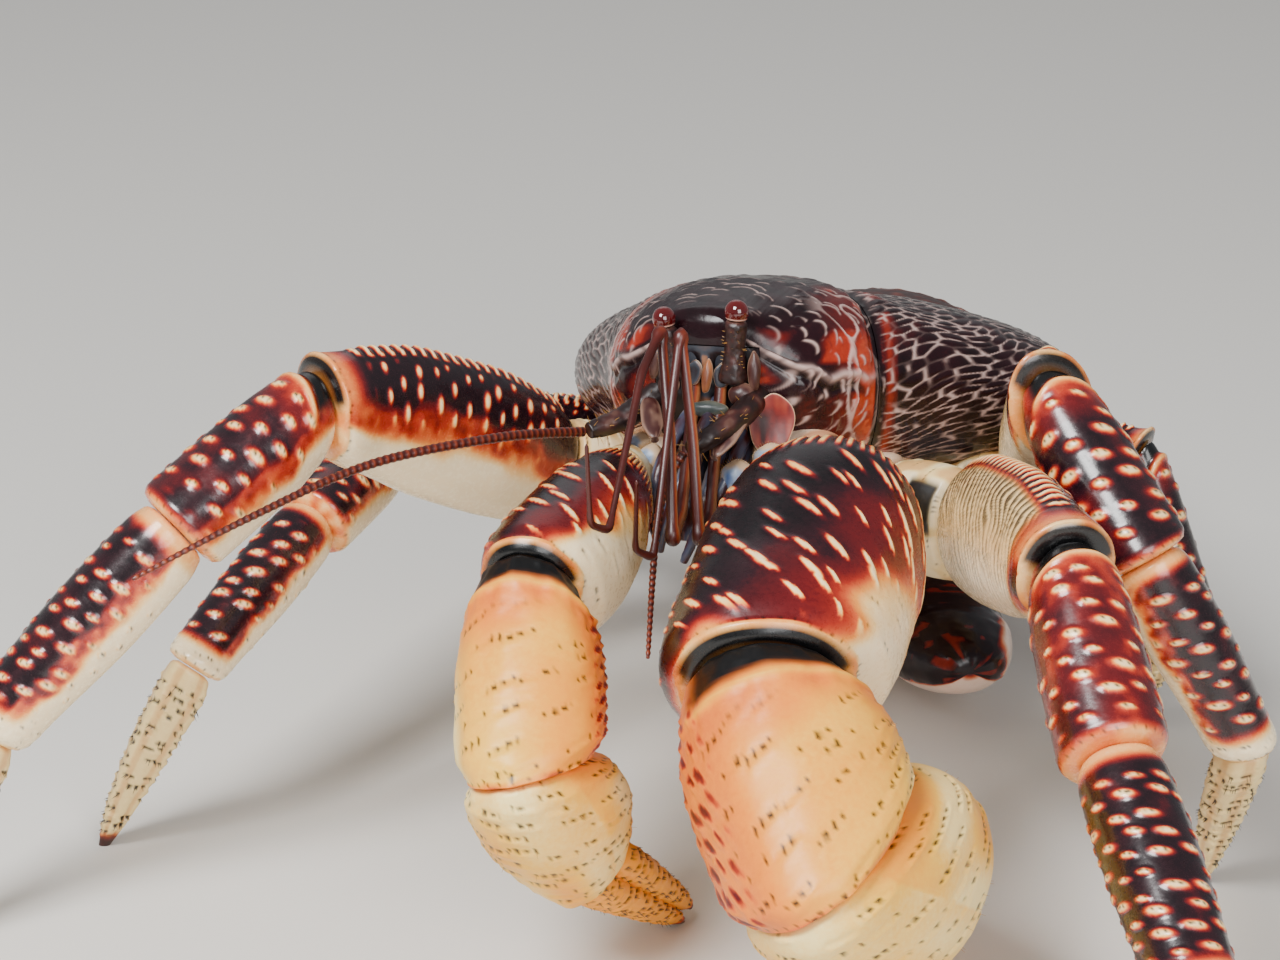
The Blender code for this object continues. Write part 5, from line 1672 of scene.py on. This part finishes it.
class CRAB_OT_claws(bpy.types.Operator):
    """Builds both claws with their arms, palms and fingers"""

    bl_idname = "crab.claws"
    bl_label = "Claws"

    def execute(self, context):
        pitch = context.scene.crab_sizes.claw_pitch
        dark = []
        pale = []
        for name in CLAWS:
            limb = claw_limb(name)
            look = LOOKS[name]
            for part, segment in zip(limb.names[:3], limb.segments[:3]):
                slot_name = "claw" if part == "carpus" else "claw_arm"
                finish = finish_of("leg_pale" if part == "ischium" else slot_name)
                mesh = segment.mesh(f"{name}_{part}", pitch, CLAW_PATTERNS[part], look)
                shown(f"shell_{name}_{part}", mesh, finish, [f"{name}_{part}"])
            hand = limb.segments[3]
            hand.end_plane = hand.along
            width, height = (value * limb.size for value in limb.profiles["palm"][-1][1:3])
            profile = [(t, wide * width * 2, tall * height, lift) for t, wide, tall, lift in FINGER_PROFILE]
            sunk = hand.end - hand.up * height * FINGER_SPACING - hand.along * FINGER_SUNK * limb.size
            fixed = Segment(sunk, limb.points[-1], None, FLOOR, profile, 1.0, side=hand.side, on_floor=True)
            start = hand.end + hand.up * height * FINGER_SPACING
            tip = limb.points[-1] + hand.up * TIP_SPREAD * limb.size
            moving = Segment(start, tip, hand.along, None, profile, 1.0, side=hand.side)
            palm = joined(f"{name}_palm", [hand.mesh("palm", pitch, palm_pattern, look),
                                           fixed.mesh("fixed", pitch, finger_pattern, look)])
            shown(f"shell_{name}_palm", palm, finish_of("claw"), [f"{name}_palm"])
            finger = moving.mesh(f"{name}_finger", pitch, finger_pattern, look)
            shown(f"shell_{name}_finger", finger, finish_of("claw"), [f"{name}_finger"])
            for part, seed in ((moving, 63), (fixed, 65)):
                dark += part.bristles(share=0.4, length=1.4, seed=seed, low=0.05, high=0.9)
            pale += hand.bristles(share=0.16, length=1.7, seed=67)
            pale += limb.segments[2].bristles(share=0.1, length=1.3, seed=69)
        show_bristles("claw_bristles", dark, BRISTLE_RADIUS, "dark_claw_bristle", "#20130C")
        show_bristles("claw_setae", pale, BRISTLE_RADIUS * 0.7, "golden_seta", "#B98A45")
        return {"FINISHED"}


class CRAB_OT_abdomen(bpy.types.Operator):
    """Builds the soft abdomen, its horny plates and its tail"""

    bl_idname = "crab.abdomen"
    bl_label = "Abdomen"

    def execute(self, context):
        polar = np.linspace(0, math.pi, SAC_RINGS + 2)[1:-1][:, None]
        turn = (np.arange(SAC_SIDES) / SAC_SIDES * math.tau)[None, :]
        half = np.array(SAC_HALF)
        wrinkle = 0.5 * wander(polar * 30, turn * 9, 101) + 0.3 * wander(polar * 60, turn * 22, 103)
        x = (half[0] + wrinkle - SAC_SUNK) * np.cos(polar) * np.ones_like(turn)
        y = (half[1] + wrinkle - SAC_SUNK) * np.sin(polar) * np.cos(turn)
        z = SAC_MIDDLE[2] + (half[2] + wrinkle - SAC_SUNK) * np.sin(polar) * np.sin(turn)
        z = np.maximum(z, 0.0)
        none = np.zeros_like(x)
        mesh = closed_loft("abdomen_sac", np.stack([x, y, z], axis=-1),
                           {"tone": 0.25 + 0.6 * wrinkle, "pit": none, "film": none})
        shown("abdomen_skin", mesh, finish_of("skin"), ["abdomen_sac"])
        for index, (front, rear) in enumerate(zip(PLATE_EDGES, PLATE_EDGES[1:])):
            mesh = plate_mesh(index, front, rear)
            shown(f"abdomen_tergite_{index + 1}", mesh, finish_of("abdomen"),
                  [f"abdomen_plate_{index + 1}"])
        tail = Segment(Vector(TAIL_FROM), Vector(TAIL_TO), None, None, TAIL_PROFILE)
        mesh = tail.mesh("tail", TAIL_PITCH, tail_pattern)
        shown("tail_end", mesh, finish_of("carapace"), ["tail"])
        return {"FINISHED"}


def tail_pattern(surface, look):
    surface.tone = 0.06 + 0.30 * ease(0.66, 0.8, surface.noise(2.2, 4, 111))
    rim = ease(-0.45, -0.65, surface.up)
    surface.paint(0.94, rim)
    surface.rise += 0.35 * surface.noise(2.2, 4, 112) * (1 - rim)
    knob = span(surface.t, 0.62, 0.72, 0.86, 0.95) * ease(-0.72, -0.9, surface.side)
    surface.paint(0.97, knob)
    surface.rise += 0.8 * knob


def plate_mesh(index, front, rear):
    """A curved horny plate with knobs in rows, made as a grid and given its thickness."""
    bm = bmesh.new()
    bmesh.ops.create_grid(bm, x_segments=PLATE_COLUMNS, y_segments=PLATE_ROWS, size=1.0)
    half = SAC_HALF
    spots = []
    for vert in bm.verts:
        across = vert.co.x
        down = (vert.co.y + 1) / 2
        side = math.radians(across * PLATE_REACH)
        turn = math.radians(front + (rear - front - PLATE_GAP) * down)
        spot = Vector((math.sin(side), -math.cos(side) * math.cos(turn), math.cos(side) * math.sin(turn)))
        outward = Vector((spot.x / half[0], spot.y / half[1], spot.z / half[2])).normalized()
        coarse = wander(np.array(across * 16 + down * 5), np.array(down * 5 - across * 7), 120 + index)
        small = wander(np.array(across * 31 - down * 8), np.array(down * 9 + across * 12), 130 + index)
        knob = max(0.0, 0.6 * float(coarse) + 0.4 * float(small) - 0.45)
        clear = GAP * 2 + PLATE_THICKNESS / 2 + 1.2 * knob
        vert.co = (Vector(SAC_MIDDLE) + Vector((spot.x * half[0], spot.y * half[1], spot.z * half[2]))
                   + outward * clear) * MM
        spots.append(0.08 + 1.3 * knob)
    mesh = mesh_of(f"plate_{index}", bm)
    none = np.zeros(len(spots))
    for key, values in (("tone", np.clip(spots, 0, 1)), ("pit", none), ("film", none)):
        write_attribute(mesh, key, values)
    made = add_object("plate", mesh)
    thicken(made, PLATE_THICKNESS - 0.4)
    thick = made.data
    bpy.data.objects.remove(made, do_unlink=True)
    return thick


class CRAB_OT_head(bpy.types.Operator):
    """Builds the eyes, their stalks, the feelers and the mouth legs"""

    bl_idname = "crab.head"
    bl_label = "Head"

    def execute(self, context):
        cornea = cornea_finish()
        for label in ("left", "right"):
            root, middle = eye_line(label)
            along = (middle - root).normalized()
            base = middle - along * EYE_BASE
            stalk = Segment(root, base, None, None, STALK_PROFILE)
            shown(f"stalk_{label}", stalk.mesh("stalk", SMALL_PITCH, stalk_pattern), finish_of("stalk"),
                  [f"eyestalk_{label}"])
            shown(f"cornea_{label}", eye_mesh(middle, along), cornea, [f"eye_{label}"])
        for name, (points, radii, kind) in FEELERS.items():
            mesh = feeler_mesh(name, points, radii, kind)
            if name in SCALES:
                start, end = (Vector(place) for place in SCALES[name])
                scale = Segment(start, end, None, None, SCALE_PROFILE)
                mesh = joined(name, [mesh, scale.mesh("scale", SMALL_PITCH, scale_pattern)])
            shown("shell_" + name, mesh, finish_of(kind), [name])
        for name, (centre, facing, half_width, half_height, dish, finish) in HEAD_PLATES.items():
            mesh = leaf_mesh(name, centre, facing, half_width, half_height, dish)
            shown(name, mesh, finish_of(finish), [])
        rods = [feeler_mesh("rod", points, ROD_RADII, "mouth") for points in MOUTH_RODS]
        shown("mouth_rods", joined("mouth_rods", rods), finish_of("mouth"), [])
        show_bristles("head_setae", head_setae(), BRISTLE_RADIUS, "golden_head_seta", "#A87A3C")
        return {"FINISHED"}


def eye_line(label):
    """Where an eyestalk starts on the body, and its eye's middle."""
    side = 1 if label == "left" else -1
    root = on_body(STALK_ROOT[0] * side, *STALK_ROOT[1:])
    return root, on_body(EYE_PLACE[0] * side, EYE_PLACE[1], EYE_PLACE[2] + EYE_RISE[label])


def facing_axes(facing):
    """A plate's own axes: to its side, up and out."""
    facing = Vector(facing).normalized()
    side = Vector((0, 0, 1)).cross(facing).normalized()
    return side, facing.cross(side), facing


def set_out(centre, parts, axes):
    """Points at distances along three axes from a centre."""
    steps = (part[..., None] * np.array(axis) for part, axis in zip(parts, axes))
    return np.array(centre, float) + sum(steps)


def leaf_mesh(name, centre, facing, half_width, half_height, dish):
    """A thick oval plate with a pale rim, hollowed by dish on the side that faces out."""
    polar = np.linspace(0.04, math.pi - 0.04, LEAF_RINGS)[:, None]
    turn = (np.arange(LEAF_SIDES) / LEAF_SIDES * math.tau)[None, :]
    reach = np.sin(polar) ** 0.75
    wave = 1 + 0.08 * np.sin(2 * turn + 0.8) + 0.03 * np.sin(5 * turn)
    depth = 1.3 * np.cos(polar) - dish * (1 - reach**2)
    parts = (half_width * reach * wave * np.cos(turn), half_height * reach * wave * np.sin(turn),
             depth * np.ones_like(turn))
    points = set_out(centre, parts, facing_axes(facing))
    streaks = wander(parts[0] / 1.1, parts[1] / 4, 171)
    tone = mix(0.04 + 0.42 * streaks + 0.25 * ease(0.3, 0.9, reach), 0.95, ease(0.93, 0.99, reach))
    return closed_loft(name, points, {"tone": tone, "pit": 0 * tone, "film": 0 * tone})


def head_setae():
    """Golden bristles round the knobs beside the mouth and along the antenna bases."""
    found = []
    for name in (name for name in HEAD_PLATES if "knob" in name):
        centre, facing, half_width, half_height = HEAD_PLATES[name][:4]
        side, over, facing = facing_axes(facing)
        for step in range(KNOB_SETAE):
            turn = step / KNOB_SETAE * math.tau
            out = side * math.cos(turn) * half_width + over * math.sin(turn) * half_height
            way = (out.normalized() * 0.8 + facing).normalized()
            found.append((Vector(centre) + out * 0.85, way, 1.6 + float(scatter(step, 3, 5))))
    for label in ("left", "right"):
        root, middle = eye_line(label)
        for step in range(STALK_SETAE):
            turn = float(scatter(step, 1, 21)) * math.tau
            way = Vector((math.cos(turn), -abs(math.sin(turn)), 0.3)).normalized()
            spot = root.lerp(middle, 0.1 + 0.65 * float(scatter(step, 2, 22)))
            found.append((spot + way * 2.3, way, 1.6))
    for name in ("antenna_base_left", "antenna_base_right"):
        spots = smooth_points(FEELERS[name][0], np.linspace(0.15, 0.95, BASE_SETAE))
        for index, spot in enumerate(spots):
            turn = float(scatter(index, 7, 9)) * math.tau
            way = Vector((math.cos(turn), -0.4, math.sin(turn))).normalized()
            found.append((Vector(spot) + way * 2.4, way, 2.2 + float(scatter(index, 2, 4))))
    return found


def scale_pattern(surface, look):
    """A leaf-shaped scale, dark in the middle with a pale rim."""
    rim = ease(0.6, 0.95, np.abs(surface.side))
    surface.tone = mix(0.35 + 0.4 * wander(surface.s / 2, surface.side * 3, 141), 0.95, rim)


def stalk_pattern(surface, look):
    surface.tone = 0.08 + 0.5 * surface.noise(1.2, 3, 131) ** 2
    surface.rise += 0.3 * surface.noise(0.7, 6, 133)
    surface.rise += 0.9 * ease(0.5, 0.0, surface.t) + 0.25 * ease(0.55, 0.9, surface.t)
    surface.paint(0.85, 0.6 * ease(0.93, 0.98, surface.t))


def eye_mesh(middle, along):
    """A round cornea that ends in a pale rim on its stalk."""
    polar = np.linspace(0.02, math.pi - EYE_CUT, EYE_RINGS)[:, None]
    turn = (np.arange(EYE_SIDES) / EYE_SIDES * math.tau)[None, :]
    side = along.cross(Vector((0, 0, 1))).normalized()
    flat = np.sin(polar)
    rim = ease(math.pi - EYE_CUT - 0.22, math.pi - EYE_CUT - 0.08, polar) * np.ones_like(turn)
    size = 1 + 0.03 * rim
    parts = (EYE_LENGTH * np.cos(polar) * np.ones_like(turn), EYE_WIDTH * flat * np.cos(turn) * size,
             EYE_HEIGHT * flat * np.sin(turn) * size)
    return closed_loft("eye", set_out(middle, parts, (along, side, side.cross(along))), {"tone": rim})


class CRAB_OT_stage(bpy.types.Operator):
    """Adds the pale floor, the studio light and the camera"""

    bl_idname = "crab.stage"
    bl_label = "Floor, light and camera"

    def execute(self, context):
        scene = context.scene
        light = scene.crab_light
        bm = bmesh.new()
        bmesh.ops.create_grid(bm, x_segments=1, y_segments=1, size=scene.crab_sizes.floor_size / 2)
        mesh = mesh_of("floor", bm)
        mesh.materials.append(plain_finish("matt_floor_paint", light.floor_colour, 0.75))
        floor = add_object("floor", mesh)
        world = bpy.data.worlds.new("studio")
        world.use_nodes = True
        world.node_tree.nodes["Background"].inputs["Color"].default_value = linear(SKY_COLOUR)
        world.node_tree.nodes["Background"].inputs["Strength"].default_value = light.sky
        scene.world = world
        powers = {"key": light.key, "fill": light.fill, "back": light.key * BACK_SHARE}
        for name, (place, size) in LAMPS.items():
            data = bpy.data.lights.new(name, "AREA")
            data.size = size
            data.energy = powers[name]
            lamp = add_object(name, data)
            lamp.location = place
            lamp.rotation_euler = (Vector(LIGHT_AIM) - Vector(place)).to_track_quat("-Z", "Y").to_euler()
        data = bpy.data.cameras.new("camera")
        data.sensor_width = SENSOR_WIDTH
        data.lens = LENS
        data.clip_start = NEAREST
        camera = add_object("camera", data)
        camera.location = CAMERA_PLACE
        backward = direction(1, CAMERA_TURN, CAMERA_DOWN)
        camera.rotation_euler = (-backward).to_track_quat("-Z", "Y").to_euler()
        scene.camera = camera
        return {"FINISHED"}


class CRAB_PT_panel(bpy.types.Panel):
    """Lists the sizes, the light and the pieces that can be built"""

    bl_idname = "CRAB_PT_panel"
    bl_label = "Coconut crab"
    bl_space_type = "VIEW_3D"
    bl_region_type = "UI"
    bl_category = "Crab"

    def draw(self, context):
        layout = self.layout
        for group in (context.scene.crab_sizes, context.scene.crab_light):
            for key in group.__annotations__:
                layout.prop(group, key)
        for operator in OPERATORS:
            layout.operator(operator.bl_idname)


OPERATORS = (CRAB_OT_stage, CRAB_OT_shell, CRAB_OT_legs, CRAB_OT_claws, CRAB_OT_abdomen, CRAB_OT_head)
CLASSES = (CrabSizes, CrabLight, *OPERATORS, CRAB_PT_panel)


def register():
    for made in CLASSES:
        bpy.utils.register_class(made)
    bpy.types.Scene.crab_sizes = bpy.props.PointerProperty(type=CrabSizes)
    bpy.types.Scene.crab_light = bpy.props.PointerProperty(type=CrabLight)


def unregister():
    del bpy.types.Scene.crab_light
    del bpy.types.Scene.crab_sizes
    for made in reversed(CLASSES):
        bpy.utils.unregister_class(made)


def main():
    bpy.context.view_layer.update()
    register()
    bpy.ops.crab.stage()
    bpy.ops.crab.shell()
    bpy.ops.crab.legs()
    bpy.ops.crab.claws()
    bpy.ops.crab.abdomen()
    bpy.ops.crab.head()


if __name__ == "__main__":
    main()
